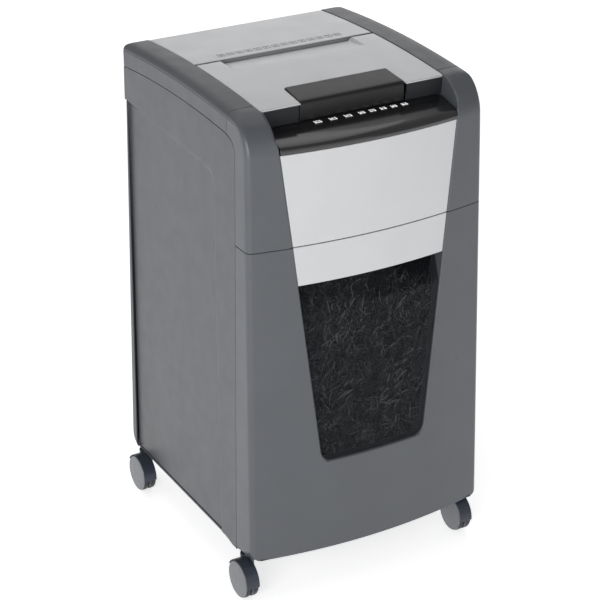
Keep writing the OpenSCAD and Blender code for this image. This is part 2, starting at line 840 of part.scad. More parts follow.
module bin_front() {
    color("#55585c") difference() {
        union() {
            intersection() {
                difference() {
                    block(bottom_z, split_z - gap, 0);
                    intersection() {
                        block(bottom_z + wall, split_z + 1, wall);
                        along_y(-240, -100) offset(delta = -wall) chin_shape();
                    }
                }
                along_y(-240, post_y - gap) chin_shape();
            }
            intersection() {
                block(bottom_z, split_z - gap, 0.5);
                along_y(-240, -164) difference() {
                    insert_shape(window_z - 3, split_z - gap, 2.5);
                    insert_shape(window_z, split_z + 5, 0);
                }
            }
        }
        along_y(-240, -150) difference() {
            insert_shape(window_z, split_z + 5, 0);
            for (s = [-1, 1]) translate([s * insert_at(window_z), window_z]) difference() {
                circle(r = 16);
                translate([-s * 16, 16]) circle(r = 16, $fn = 40);
            }
        }
    }
}

module bin_strip() {
    color("#c4c6c8") {
        intersection() {
            difference() {
                block(strip_z, split_z - gap, 2);
                block(strip_z - 1, split_z + 1, 4.5);
            }
            along_y(-240, -150) insert_shape(strip_z, split_z - gap, -0.4);
        }
        intersection() {
            block(split_z - 4, split_z - gap, 4.4);
            along_y(-240, -178) insert_shape(split_z - 3, split_z - gap, -0.4);
        }
    }
}

module bin_window() {
    color("#20242a") intersection() {
        union() {
            difference() {
                block(window_z, lean_z, 3.2);
                block(window_z - 1, lean_z + 0.01, 5.7);
            }
            difference() {
                block(lean_z, 497, 3.2, 0, finger_depth);
                block(lean_z - 0.01, 497.5, 5.7, 0, finger_depth);
            }
            difference() {
                block(496.9, split_z - 4.5, 3.2, finger_depth, finger_depth);
                block(496, split_z, 5.7, finger_depth, finger_depth);
            }
        }
        along_y(-240, -150) difference() {
            insert_shape(window_z + 0.4, split_z - 4.5, -0.4);
            for (s = [-1, 1]) translate([s * insert_at(window_z), window_z]) difference() {
                circle(r = 16.8);
                translate([-s * 16, 16]) circle(r = 15.6, $fn = 40);
            }
        }
    }
}

module bin_tub() {
    color("#26282b") difference() {
        translate([-tub_half, tub_front, 72]) cube([2 * tub_half, tub_rear - tub_front, 450]);
        translate([-tub_half + 2.5, tub_front + 2.5, tub_bottom + 0.5])
            cube([2 * tub_half - 5, tub_rear - tub_front - 5, 460]);
        translate([-122, tub_front - 1, 120]) cube([244, 10, 460]);
    }
}

// caster parts in place: the stem is at the origin of the children
module caster_at(x, y, turn = caster_turn) {
    translate([x, y, 0]) rotate([0, 0, turn]) children();
}

// the same, moved on to the middle of the wheel pair
module at_axle() {
    translate([-side_shift, -trail, axle_z]) rotate([0, 90, 0]) children();
}

module caster_hood() {
    space = hood_r - 1.2;
    x = pair_w / 2;
    color("#26292e") difference() {
        union() {
            difference() {
                at_axle() cylinder(h = pair_w, r = hood_r, center = true);
                at_axle() cylinder(h = pair_w + 2, r = space, center = true);
                translate([-50, -trail - 50, -10]) cube([100, 100, axle_z + 8]);
                translate([-50, 6 - trail, -10]) cube([100, 60, axle_z + 24]);
            }
            at_axle() cylinder(h = 2 * web_half, r = space + 0.2, center = true);
            translate([0, 0, axle_z]) cylinder(h = hood_r, r = 10.5);
        }
        translate([-50, -trail - 50, -10]) cube([100, 100, 14]);
        at_axle() cylinder(h = 60, r = axle_r + 0.06, center = true);
        translate([0, 0, stem_z]) cylinder(h = 40, r = stem_r + 0.02);
        for (s = [0, 1]) at_axle() mirror([0, 0, s]) translate([0, 0, web_half])
            cylinder(h = x + 0.3 - web_half, r = space);
    }
}

module caster_stem() {
    color("#b9bcc0") translate([0, 0, stem_z]) cylinder(h = 61.5 - stem_z, r = stem_r);
}

module caster_wheels() {
    w = pair_w / 2 - wheel_in;
    color("#7b7e82") at_axle() {
        for (s = [0, 1]) mirror([0, 0, s]) translate([0, 0, wheel_in]) rotate_extrude()
            polygon([[0, 0], [wheel_d / 2 - 1, 0], [wheel_d / 2, 1], [wheel_d / 2, w - 2],
                [wheel_d / 2 - 2, w - 0.3], [8, w], [0, w]]);
        cylinder(h = 2 * wheel_in + 2, r = axle_r, center = true);
    }
}

module hood_fl() { caster_at(-stem_x, stem_front) caster_hood(); }
module stem_fl() { caster_at(-stem_x, stem_front) caster_stem(); }
module wheels_fl() { caster_at(-stem_x, stem_front) caster_wheels(); }
module hood_fr() { caster_at(stem_x, stem_front) caster_hood(); }
module stem_fr() { caster_at(stem_x, stem_front) caster_stem(); }
module wheels_fr() { caster_at(stem_x, stem_front) caster_wheels(); }
module hood_rl() { caster_at(-stem_x, stem_rear) caster_hood(); }
module stem_rl() { caster_at(-stem_x, stem_rear) caster_stem(); }
module wheels_rl() { caster_at(-stem_x, stem_rear) caster_wheels(); }
module hood_rr() { caster_at(stem_x, stem_rear, rear_turn) caster_hood(); }
module stem_rr() { caster_at(stem_x, stem_rear, rear_turn) caster_stem(); }
module wheels_rr() { caster_at(stem_x, stem_rear, rear_turn) caster_wheels(); }

base();
side_left();
side_right();
rear_panel();
head_rear();
trim_left();
trim_right();
post_left();
post_right();
front_panel();
control_panel();
touch_keys();
indicators();
rear_cover();
feed_tray();
deck();
plate_left();
plate_right();
tie_rods();
bearings();
strippers();
motor();
control_board();
power_board();
mains_inlet();
switch_frame();
interlock();
bin_rails();
frame_screws();
lid_panel();
lid_liner();
handle();
hinge_pins();
press_plate();
press_springs();
bin_front();
bin_strip();
bin_window();
bin_tub();
cutter_front();
cutter_rear();
gear_front();
gear_rear();
motor_shaft();
roller_shaft();
rollers();
roller_gear();
rocker();
hood_fl();
stem_fl();
wheels_fl();
hood_fr();
stem_fr();
wheels_fr();
hood_rl();
stem_rl();
wheels_rl();
hood_rr();
stem_rr();
wheels_rr();
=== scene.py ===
"""Visual model of a paper shredder on casters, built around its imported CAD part."""
import json
import math
import random

import bpy
import numpy as np
from mathutils import Matrix, Vector


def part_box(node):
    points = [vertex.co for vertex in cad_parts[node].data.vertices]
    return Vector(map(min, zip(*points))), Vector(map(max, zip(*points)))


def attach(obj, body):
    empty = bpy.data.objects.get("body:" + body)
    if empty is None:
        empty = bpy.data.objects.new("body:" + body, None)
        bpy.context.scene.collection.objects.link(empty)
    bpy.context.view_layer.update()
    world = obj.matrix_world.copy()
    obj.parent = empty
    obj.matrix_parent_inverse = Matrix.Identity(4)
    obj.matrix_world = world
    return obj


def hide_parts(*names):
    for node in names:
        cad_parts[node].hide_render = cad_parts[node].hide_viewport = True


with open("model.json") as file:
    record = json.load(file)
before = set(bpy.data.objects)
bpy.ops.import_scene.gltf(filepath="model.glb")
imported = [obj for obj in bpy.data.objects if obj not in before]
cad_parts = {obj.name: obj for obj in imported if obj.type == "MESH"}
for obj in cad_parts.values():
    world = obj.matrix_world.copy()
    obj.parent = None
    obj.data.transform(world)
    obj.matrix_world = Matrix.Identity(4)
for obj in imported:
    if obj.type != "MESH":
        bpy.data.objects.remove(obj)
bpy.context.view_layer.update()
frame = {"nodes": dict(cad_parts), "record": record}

MM = 0.001


# ---- measures, in mm
def lo(node, axis):
    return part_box(node)[0][axis] / MM


def hi(node, axis):
    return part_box(node)[1][axis] / MM


def mid(node, axis):
    return (lo(node, axis) + hi(node, axis)) / 2


X, Y, Z = 0, 1, 2
GAP = 0.3  # half of every seam
SPLIT = lo("post_right", Z) - GAP  # height of the split between head and bin front
BOTTOM = lo("bin_front", Z)  # underside of the bin front
HALF = hi("post_right", X)  # half width at the split
JOG = lo("head_rear", Z) - GAP  # lower edge of the rear wall of the head
REAR = hi("head_rear", Y)  # rear face of the head
TOP = hi("trim_left", Z)  # peak of the arched trims
LID_TOP = TOP - 0.6  # peak of the silver lid and cover
ARCH_Y, ARCH_R = 28.0, 2050.0  # peak and radius of the arch, seen from the side
PANEL_TOP = hi("front_panel", Z)  # top of the silver front panel
STRIP = lo("bin_strip", Z)  # lower edge of the pull strip
WINDOW = lo("bin_window", Z) - 0.4  # lower edge of the window opening
SEAM_Y = hi("bin_front", Y) + GAP  # side seam between front parts and side panels
TRIM_Y = lo("trim_right", Y) - GAP  # front end of the side trims
LID_FRONT = lo("lid_panel", Y)
LID_REAR = hi("lid_panel", Y)
COVER_FRONT = lo("rear_cover", Y)
COVER_REAR = hi("rear_cover", Y)
LID_X = hi("rear_cover", X) + GAP  # half width of the silver top
INSERT = 125.6  # half width of the front insert at the split
SLOPE = 0.117  # widening of the insert for each mm of height
SIDE_DRAFT, FRONT_DRAFT = 0.012, 0.028  # spread of the faces for each mm towards the floor
BOW_R = 862.0  # radius of the bowed front in plan
CORNER = 10.0  # radius of the front corners in plan
ROLL = 48.0  # radius of the rolled front, before the arch is laid on
ROLL_Z = TOP - ROLL
FRONT = -199.8  # front face at the split, in the middle
EMBOSS, EMBOSS_SOFT = 5.0, 4.5  # depth of the side panels' field, half its soft edge
CHIN_R = 15.0  # radius of the lower corners of the bin front
REAR_R = 1.6  # radius of the rear corners in plan
REAR_LAP = REAR - 8.7  # where the rear walls start on the sides
HEEL = 22.0  # radius of the lower rear corners, seen from the side
WINDOW_R = 16.0  # radius of the lower corners of the window
TINY = 1e-9  # least length that is divided by


def spread(a, b, n):
    """n values from a to b, evenly spaced."""
    return [a + (b - a) * i / (n - 1) for i in range(n)]


def rise(z, r, angles):
    """Heights above z at the given angles of a quarter round."""
    return [z + r * (1 - math.cos(math.radians(a))) for a in angles]


def shortfall(r, k):
    """How far a round of radius r falls short of its edge at a distance k from its centre."""
    return r - math.sqrt(max(0.0, r * r - k * k))


def smooth(a, b, v):
    """0 below a, 1 above b and a soft step between them."""
    t = min(1.0, max(0.0, (v - a) / (b - a)))
    return t * t * (3 - 2 * t)


# how far the sides draw in below the top: depth below it, inset
RIM_DEPTH = [0, 0.25, 0.8, 1.6, 3, 5, 7, 8.1, 8.5, 9.0, 9.4]
RIM_INSET = [18.3, 13.3, 9.3, 5.3, 2.8, 1.0, 0.2, 0.1, 0.6, 0.6, 0.0]


def half_at(z):
    """Half width of the cabinet at a height, before the arch is laid on."""
    return HALF + SIDE_DRAFT * (SPLIT - z) - float(np.interp(TOP - z, RIM_DEPTH, RIM_INSET))


def front_at(z):
    """Front face in the middle at a height."""
    return FRONT - FRONT_DRAFT * (SPLIT - z)


def rolled_front(z):
    """The same with the roll over the top front corner."""
    y = front_at(z)
    if z > ROLL_Z:
        y += shortfall(ROLL, z - ROLL_Z)
    return y


def rear_at(z):
    """Rear face at a height."""
    if z > JOG:
        k = min(1.0, max(0.0, z - (TOP - 2.5)) / 2.5)
        return REAR - 2.0 * (1 - math.sqrt(1 - k * k))
    return REAR - 6.0 + (JOG - z) * 0.018


def arch_drop(y):
    """Fall of the top below its peak at a depth."""
    return (y - ARCH_Y) ** 2 / (2 * ARCH_R)


def arched_z(y, z):
    """Height of a point once the arch is laid on the head."""
    return z - arch_drop(y) * smooth(650, 702, z)


def flat_z(y, z):
    """Height that arched_z brings to z."""
    f = z
    for _ in range(12):
        f += z - arched_z(y, f)
    return f


def arched(part):
    return [(p[0], p[1], arched_z(p[1], p[2])) for p in part[0]], part[1]


def bow(x):
    """How far the bowed front falls back at x."""
    return x * x / (2 * BOW_R)


def insert_at(z):
    """Half width of the front insert at a height."""
    return INSERT + SLOPE * (z - SPLIT)


def corner_of(h, y_front, r):
    """Start of the front corner arc, its centre and the angle the front has there."""
    a = math.atan(h / BOW_R)
    xs = h - r + r * math.sin(a)
    return xs, h - r, y_front + bow(xs) + r * math.cos(a), a


# ---- mesh building
def weld(verts, faces):
    """Shared points become one, and faces without area are dropped."""
    keys, index, out = {}, [], []
    for v in verts:
        k = (round(v[0], 3), round(v[1], 3), round(v[2], 3))
        if k not in keys:
            keys[k] = len(out)
            out.append(v)
        index.append(keys[k])
    kept = []
    for f in faces:
        g = []
        for i in f:
            j = index[i]
            if not g or g[-1] != j:
                g.append(j)
        while len(g) > 1 and g[0] == g[-1]:
            g.pop()
        if len(g) > 2 and len(set(g)) == len(g):
            kept.append(g)
    return np.array(out, float), kept


def grid(rows, flip=False):
    """Quads over rows of points with equal counts."""
    n = len(rows[0])
    verts = [p for row in rows for p in row]
    faces = []
    for j in range(len(rows) - 1):
        for i in range(n - 1):
            a = j * n + i
            f = [a, a + 1, a + n + 1, a + n]
            faces.append(f[::-1] if flip else f)
    return verts, faces


def join(*parts):
    """Several parts as one."""
    verts, faces = [], []
    for v, f in parts:
        k = len(verts)
        verts.extend([tuple(p) for p in v])
        faces.extend([[i + k for i in g] for g in f])
    return verts, faces


def mirrored(part):
    v, f = part
    return [(-p[0], p[1], p[2]) for p in v], [g[::-1] for g in f]


def normals_of(v, faces):
    """Face normals by Newell's rule, and the vertex normals they give."""
    fn = np.zeros((len(faces), 3))
    vn = np.zeros_like(v)
    for k, f in enumerate(faces):
        p = v[f]
        q = np.roll(p, -1, axis=0)
        n = np.array([((p[:, 1] - q[:, 1]) * (p[:, 2] + q[:, 2])).sum(),
                      ((p[:, 2] - q[:, 2]) * (p[:, 0] + q[:, 0])).sum(),
                      ((p[:, 0] - q[:, 0]) * (p[:, 1] + q[:, 1])).sum()])
        for i in f:
            vn[i] += n
        fn[k] = n / max(TINY, np.linalg.norm(n))
    vn /= np.maximum(TINY, np.linalg.norm(vn, axis=1))[:, None]
    return fn, vn


def solid(sheet, depth, radius, steps=3):
    """Closed wall, depth thick, from an open sheet. Its rim is rounded by radius, which may be
    a function of the point."""
    v, faces = weld(*sheet)
    fn, vn = normals_of(v, faces)
    directed = {}
    for k, f in enumerate(faces):
        for i, j in zip(f, f[1:] + f[:1]):
            directed[(i, j)] = k
    rim = [(e, k) for e, k in directed.items() if (e[1], e[0]) not in directed]
    out_dir = {}
    for (i, j), k in rim:
        d = v[j] - v[i]
        t = np.cross(d / max(TINY, np.linalg.norm(d)), fn[k])
        for m in (i, j):
            out_dir.setdefault(m, []).append(t)
    base = len(v)
    verts = [tuple(p) for p in v] + [tuple(p) for p in v - vn * depth]
    ring = {}
    for m, ts in out_dir.items():
        t = np.sum(ts, axis=0)
        t = t - vn[m] * (t @ vn[m])
        t /= max(TINY, np.linalg.norm(t))
        t = t / max(0.4, min(1.0, float(t @ ts[0])))
        r = radius(v[m]) if callable(radius) else radius
        verts[m] = tuple(v[m] - t * r)
        ring[m] = [m]
        for s in range(1, steps + 1):
            a = s / steps * math.pi / 2
            p = v[m] - t * r * (1 - math.sin(a)) - vn[m] * r * (1 - math.cos(a))
            ring[m].append(len(verts))
            verts.append(tuple(p))
        ring[m].append(base + m)
    out = [list(f) for f in faces] + [[base + i for i in f[::-1]] for f in faces]
    for (i, j), _ in rim:
        for s in range(steps + 1):
            out.append([ring[j][s], ring[i][s], ring[i][s + 1], ring[j][s + 1]])
    return verts, out


def plate(outline, top, thick, radius, both=False, steps=3, along_x=False):
    """Flat plate with a rounded upper rim, and a lower one if both is set. outline is
    anticlockwise, in X and Y, or in Y and Z for a plate that lies across X."""
    n = len(outline)
    verts, faces, prev = [], [], None
    pts = np.array(outline, float)
    nxt, prv = np.roll(pts, -1, axis=0), np.roll(pts, 1, axis=0)
    d1, d2 = nxt - pts, pts - prv
    d1 /= np.maximum(TINY, np.linalg.norm(d1, axis=1))[:, None]
    d2 /= np.maximum(TINY, np.linalg.norm(d2, axis=1))[:, None]
    o1, o2 = np.stack([d1[:, 1], -d1[:, 0]], 1), np.stack([d2[:, 1], -d2[:, 0]], 1)
    t = o1 + o2
    t /= np.maximum(TINY, np.linalg.norm(t, axis=1))[:, None]
    t /= np.maximum(0.4, (t * o1).sum(1))[:, None]
    angles = [s / steps * math.pi / 2 for s in range(steps + 1)]
    levels = [(radius * (1 - math.sin(a)), top - radius * (1 - math.cos(a))) for a in angles]
    if both:
        levels += [(radius * (1 - math.sin(a)), top - thick + radius * (1 - math.cos(a)))
                   for a in angles[::-1]]
    else:
        levels.append((0.0, top - thick))
    for inset, w in levels:
        q = pts - t * inset
        k = len(verts)
        verts += [(w, a, b) if along_x else (a, b, w) for a, b in q]
        if prev is None:
            faces.append(list(range(k, k + n)))
        else:
            for i in range(n):
                j = (i + 1) % n
                faces.append([prev + j, prev + i, k + i, k + j])
        prev = k
    faces.append(list(range(prev, prev + n))[::-1])
    return verts, faces


def rect(x0, y0, x1, y1, r, n=4):
    """Rectangle with rounded corners, anticlockwise."""
    pts = []
    for cx, cy, a in ((x1 - r, y0 + r, -90), (x1 - r, y1 - r, 0), (x0 + r, y1 - r, 90),
                      (x0 + r, y0 + r, 180)):
        for i in range(n + 1):
            b = math.radians(a + 90 * i / n)
            pts.append((cx + r * math.cos(b), cy + r * math.sin(b)))
    return pts


def brick(x0, y0, z0, x1, y1, z1, r):
    """Box with rounded edges."""
    return plate(rect(x0, y0, x1, y1, r * 1.2, 3), z1, z1 - z0, r, both=True)


def lathe(profile, centre, n):
    """Profile of (along X, radius) turned about an axis along X."""
    verts, faces = [], []
    for a, r in profile:
        for i in range(n):
            b = 2 * math.pi * i / n
            verts.append((centre[0] + a, centre[1] + r * math.cos(b), centre[2] + r * math.sin(b)))
    m = len(profile)
    for k in range(m):
        for i in range(n):
            j, q = (i + 1) % n, (k + 1) % m
            faces.append([k * n + i, k * n + j, q * n + j, q * n + i])
    return verts, faces


def piece(name, parts, finish, body, replaces=(), marks=None, soft_normals=True):
    """One Blender object from parts given in mm. finish is a material, or a list of them, and
    then marks says which one each part has."""
    mesh = bpy.data.meshes.new(name)
    verts, faces, which = [], [], []
    for k, (v, f) in enumerate(parts):
        start = len(verts)
        verts.extend([(p[0] * MM, p[1] * MM, p[2] * MM) for p in v])
        faces.extend([[i + start for i in g] for g in f])
        which.extend([(marks[k] if marks else 0)] * len(f))
    mesh.from_pydata(verts, [], faces)
    mesh.validate()
    for m in finish if isinstance(finish, list) else [finish]:
        mesh.materials.append(m)
    mesh.polygons.foreach_set("material_index", which)
    mesh.polygons.foreach_set("use_smooth", [True] * len(mesh.polygons))
    mesh.update()
    obj = bpy.data.objects.new(name, mesh)
    bpy.context.scene.collection.objects.link(obj)
    if soft_normals:
        mod = obj.modifiers.new("even_normals", "WEIGHTED_NORMAL")
        mod.weight = 80
        mod.keep_sharp = False
    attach(obj, body)
    if replaces:
        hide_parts(*replaces)


def both_sides(name, parts, finish):
    """A cabinet piece on the right and its mirror image on the left."""
    piece(name + "_right_shell", parts, finish, "cabinet", [name + "_right"])
    piece(name + "_left_shell", [mirrored(p) for p in parts], finish, "cabinet",
          [name + "_left"])


# ---- finishes
def add_node(tree, kind, inputs, links=()):
    """Shader node with constant inputs and linked ones."""
    n = tree.nodes.new("ShaderNode" + kind)
    for socket, value in inputs.items():
        n.inputs[socket].default_value = value
    for socket, source in links:
        tree.links.new(source, n.inputs[socket])
    return n


def noise(tree, scale, detail, coords, rough):
    n = add_node(tree, "TexNoise", {"Scale": scale, "Detail": detail, "Roughness": rough},
                 [("Vector", coords)])
    return n.outputs["Fac"]


def ranged(tree, value, a, b, c, d):
    """Value mapped from a..b to c..d."""
    n = add_node(tree, "MapRange", {"From Min": a, "From Max": b, "To Min": c, "To Max": d},
                 [("Value", value)])
    return n.outputs["Result"]


def weighted_sum(tree, value, weight, other):
    """value times weight, plus other."""
    n = add_node(tree, "Math", {1: weight}, [(0, value), (2, other)])
    n.operation = "MULTIPLY_ADD"
    return n.outputs[0]


def blend_colour(tree, factor, a, b):
    """Colour between a and b, each of them a colour or the output of a node."""
    n = add_node(tree, "Mix", {}, [("Factor", factor)])
    n.data_type = "RGBA"
    for socket, value in ((n.inputs[6], a), (n.inputs[7], b)):
        if isinstance(value, (tuple, list)):
            socket.default_value = (*value[:3], 1.0)
        else:
            tree.links.new(value, socket)
    return n.outputs[2]


def finish(name, colour, rough, metallic=0.0, vary=0.06, rough_vary=0.06, grain=1400.0,
           grain_depth=0.012, mottle=30.0, wear_and_edge_highlight=0.0, stretch=(1, 1, 1), coat=0.0,
           specular=0.5, alpha=1.0, scratches=0.0, glow=0.0):
    """Moulded, painted or metal surface: colour clouds, uneven gloss, a fine grain and lighter edges,
    which are partly wear and partly a painted edge highlight. grain_depth is in mm, and grain and
    mottle are noise scales per metre."""
    m = bpy.data.materials.new(name)
    m.use_nodes = True
    t = m.node_tree
    bsdf = t.nodes["Principled BSDF"]
    place = t.nodes.new("ShaderNodeTexCoord").outputs["Object"]
    place_fine = place
    if stretch != (1, 1, 1):
        place_fine = add_node(t, "Mapping", {"Scale": stretch}, [("Vector", place)]).outputs[0]
    cloud = noise(t, mottle, 4, place, 0.6)
    fine = noise(t, grain, 3, place_fine, 0.6)
    dark = tuple(c * (1 - vary) for c in colour)
    light = tuple(min(1, c * (1 + vary)) for c in colour)
    col = blend_colour(t, ranged(t, cloud, 0.3, 0.7, 0, 1), dark, light)
    speck = ranged(t, fine, 0.35, 0.65, 0, 0.5)
    col = blend_colour(t, speck, col, tuple(c * (1 - 1.2 * vary) for c in colour))
    # the lighter edges are partly wear and partly a painted highlight on the rims
    if wear_and_edge_highlight:
        bevel = add_node(t, "Bevel", {"Radius": EDGE_WEAR_AND_HIGHLIGHT_SIZE * MM})
        bevel.samples = 4
        flat = t.nodes.new("ShaderNodeNewGeometry").outputs["Normal"]
        dot = add_node(t, "VectorMath", {}, [(0, bevel.outputs["Normal"]), (1, flat)])
        dot.operation = "DOT_PRODUCT"
        edge = ranged(t, dot.outputs["Value"], 0.999, 0.9, 0, wear_and_edge_highlight)
        col = blend_colour(t, edge, col, tuple(min(1, c * 1.9 + 0.02) for c in colour))
    t.links.new(col, bsdf.inputs["Base Color"])
    gloss = weighted_sum(t, fine, 0.5, noise(t, mottle * 2.7, 3, place, 0.5))
    t.links.new(ranged(t, gloss, 0.45, 1.05, rough - rough_vary, rough + rough_vary),
                bsdf.inputs["Roughness"])
    height = fine
    if scratches:
        lines = add_node(t, "Mapping", {"Scale": (40, 900, 40), "Rotation": (0.3, 0.2, 0.5)},
                         [("Vector", place)])
        height = weighted_sum(t, noise(t, 3.0, 2, lines.outputs[0], 0.7), scratches, fine)
    bump = add_node(t, "Bump", {"Strength": 1.0, "Distance": grain_depth * MM},
                    [("Height", height)])
    t.links.new(bump.outputs["Normal"], bsdf.inputs["Normal"])
    for socket, value in (("Metallic", metallic), ("Specular IOR Level", specular),
                          ("Coat Weight", coat), ("Coat Roughness", COAT_ROUGH), ("Alpha", alpha)):
        bsdf.inputs[socket].default_value = value
    if glow:
        bsdf.inputs["Emission Color"].default_value = (1, 1, 1, 1)
        bsdf.inputs["Emission Strength"].default_value = glow
    return m


EDGE_WEAR_AND_HIGHLIGHT_SIZE = 0.9  # width of the lighter edges, partly wear and partly painted edge highlight, in mm
COAT_ROUGH = 0.06
GREY = finish("grey_plastic", (0.076, 0.081, 0.089), 0.40, wear_and_edge_highlight=0.35, mottle=14)
# a slightly lighter, glossier copy of the grey shell plastic for the posts and bin front: its lighter
# colour is painted light on the front faces
GREY_FRONT_LIT_COPY = finish("grey_plastic_front_lit_copy", (0.080, 0.086, 0.096), 0.33, wear_and_edge_highlight=0.35, mottle=14)
TRIM = finish("dark_trim_plastic", (0.078, 0.082, 0.091), 0.40, wear_and_edge_highlight=0.35, mottle=14)
FASCIA = finish("fascia_plastic", (0.016, 0.018, 0.021), 0.5, mottle=18, specular=0.3)
SILVER = finish("silver_paint", (0.56, 0.565, 0.575), 0.36, metallic=0.45, vary=0.02,
                grain=2600, grain_depth=0.006, mottle=9, wear_and_edge_highlight=0.25)
GLOSS = finish("gloss_black_plastic", (0.012, 0.012, 0.013), 0.16, vary=0.15, grain_depth=0.002,
               rough_vary=0.03, coat=0.6)
HANDLE = finish("handle_black_plastic", (0.006, 0.006, 0.0065), 0.30, vary=0.12,
                grain_depth=0.002, rough_vary=0.04, wear_and_edge_highlight=0.3, specular=0.4)
BLACK = finish("black_plastic", (0.022, 0.023, 0.026), 0.5, vary=0.12, wear_and_edge_highlight=0.2)
STEEL = finish("zinc_sheet", (0.55, 0.56, 0.57), 0.38, metallic=0.9, vary=0.06, mottle=55,
               rough_vary=0.12, scratches=0.8)
BRIGHT = finish("ground_steel", (0.62, 0.63, 0.64), 0.26, metallic=1.0, stretch=(1, 14, 1),
                vary=0.04, grain_depth=0.006)
CUTTER = finish("hardened_steel", (0.30, 0.31, 0.32), 0.34, metallic=1.0, vary=0.14,
                mottle=90, wear_and_edge_highlight=0.8, scratches=1.0)
MOTOR = finish("motor_paint", (0.035, 0.038, 0.042), 0.36, vary=0.12, wear_and_edge_highlight=0.4)
BOARD = finish("board_lacquer", (0.016, 0.11, 0.055), 0.3, vary=0.2, mottle=160)
RUBBER = finish("roller_rubber", (0.10, 0.10, 0.105), 0.72, vary=0.1, grain=700,
                grain_depth=0.05, specular=0.3)
NYLON = finish("gear_nylon", (0.66, 0.65, 0.60), 0.42, vary=0.05)
RED = finish("rocker_red", (0.42, 0.022, 0.018), 0.25, vary=0.08, grain_depth=0.004)
HOOD = finish("caster_hood_plastic", (0.024, 0.031, 0.045), 0.34, vary=0.12, wear_and_edge_highlight=0.5)
TREAD = finish("caster_tread", (0.010, 0.011, 0.013), 0.5, vary=0.15, grain=500,
               grain_depth=0.05)
DISC = finish("caster_disc_plastic", (0.13, 0.137, 0.15), 0.30, vary=0.08, wear_and_edge_highlight=0.5)
# white print with a faint emission: the glow is painted light
MARKS = finish("white_print_with_painted_glow", (0.88, 0.88, 0.88), 0.45, vary=0.08, grain_depth=0.004, glow=0.45)
PALE_MARKS = finish("grey_print", (0.30, 0.305, 0.315), 0.45, vary=0.1, grain_depth=0.004)
# near-black body of the shred pile: painted shade for the dark depth behind the loose strips
HEAP_PAINTED_SHADE = finish("shred_heap_painted_shade", (0.02, 0.021, 0.023), 0.9, vary=0.5, mottle=110, grain=600,
              grain_depth=0.1, specular=0.1)
TINT = finish("window_tint", (0.008, 0.010, 0.013), 0.10, vary=0.1, grain_depth=0.001,
              rough_vary=0.02, alpha=0.3, specular=0.15)

SLOT_FINISH = {
    "grey_shell": GREY, "dark_trim": TRIM, "silver_shell": SILVER, "gloss_black": GLOSS,
    "key_marks": GLOSS, "black_plastic": BLACK, "window_tint": TINT, "sheet_steel": STEEL,
    "bright_steel": BRIGHT, "cutter_steel": CUTTER, "motor_paint": MOTOR, "board_green": BOARD,
    "roller_rubber": RUBBER, "gear_nylon": NYLON, "rocker_red": RED, "caster_black": HOOD,
    "wheel_grey": DISC,
}
for part in frame["record"]["subparts"]:
    node = frame["nodes"][part["node"]]
    node.data.materials.clear()
    node.data.materials.append(SLOT_FINISH[part["material_slot"]])


def soften(node, width):
    """Small edge rounding on a CAD node that stays visible."""
    mod = frame["nodes"][node].modifiers.new("edges", "BEVEL")
    mod.width = width * MM
    mod.segments = 2
    mod.limit_method = "ANGLE"
    mod.angle_limit = math.radians(50)


# ---- cabinet front
def outline_row(z, x_in, y_end):
    """Points of the right half of the plan at a height, from x_in on the front, round the
    corner, to y_end on the side."""
    h, yf = half_at(z), rolled_front(z)
    r = min(CORNER, 0.55 * max(2.0, y_end - yf - bow(h)))
    xs, cx, cy, a = corner_of(h, yf, r)
    pts = [(x_in, yf + bow(x_in), z)]
    pts += [(x, yf + bow(x), z) for x in spread(min(x_in + 5, xs - 2), xs, 7)]
    for b in spread(a - math.pi / 2, 0.0, 8)[1:]:
        pts.append((cx + r * math.cos(b), cy + r * math.sin(b), z))
    end = max(y_end - 2.2, cy + 0.2)
    pts += [(h, y, z) for y in spread(cy, end, 5)[1:]]
    return pts + [(h, y_end, z)]


# the side seam where it rises behind the posts, as (depth, height)
SEAM_PTS = [(SEAM_Y, 684), (-141, 690), (-137, 695), (-131, 699), (TRIM_Y, 703.5)]


def seam_y(z):
    """Side seam of the head's posts at a height."""
    heights = [flat_z(y, v) for y, v in SEAM_PTS]
    return float(np.interp(z, heights, [y for y, _ in SEAM_PTS])) - GAP


def post_inner(z):
    """Inner edge of a post: along the insert, then out to the side of the lid."""
    z = arched_z(rolled_front(z) + 12, z)
    edges = [insert_at(SPLIT), insert_at(INSERT_END), LID_X + GAP]
    return float(np.interp(z, [SPLIT, INSERT_END, INSERT_END + 8], edges))


INSERT_END = 700  # where the slanted insert ends, at the lid's front
POST_ROWS = [SPLIT + GAP, SPLIT + 5, 575, 600, 625, 650, 662, 674, 684, 690, 693, 697, 701, 705,
             709, 713, 717, 720.5, 723.5, 726, 728.3, 730.3] + [TOP - d for d in RIM_DEPTH[::-1]]


def post_part():
    rows = [outline_row(z, post_inner(z), seam_y(z)) for z in POST_ROWS]
    last = rows[-1]
    tip = (LID_X + GAP, TRIM_Y - GAP, TOP)
    for t in (0.35, 0.7, 1.0):
        rows.append([tuple(p[k] + (tip[k] - p[k]) * t for k in range(3)) for p in last])

    def edge(p):
        if p[0] >= post_inner(p[2]) + 1:
            return 0.9
        return 3.2 if p[2] < INSERT_END else 1.6

    shell = solid(grid(rows), 3.6, edge, steps=4)
    x, foot, crest = LID_X + GAP, 642, TOP - 1.2
    profile = [(TRIM_Y + 8, foot), (TRIM_Y + 8, crest), (-130, crest), (-138, crest)]
    for z in (TOP - 1.4, TOP - 3, TOP - 6, TOP - 11, 722, 715, 707, 699, 691, 681, 660, foot):
        profile.append((rolled_front(z) + bow(x) + 1.2, z))
    wall = plate(profile[::-1], x + 0.2, 2.6, 0.3, along_x=True)
    return [arched(shell), arched(wall)]


both_sides("post", post_part(), GREY_FRONT_LIT_COPY)


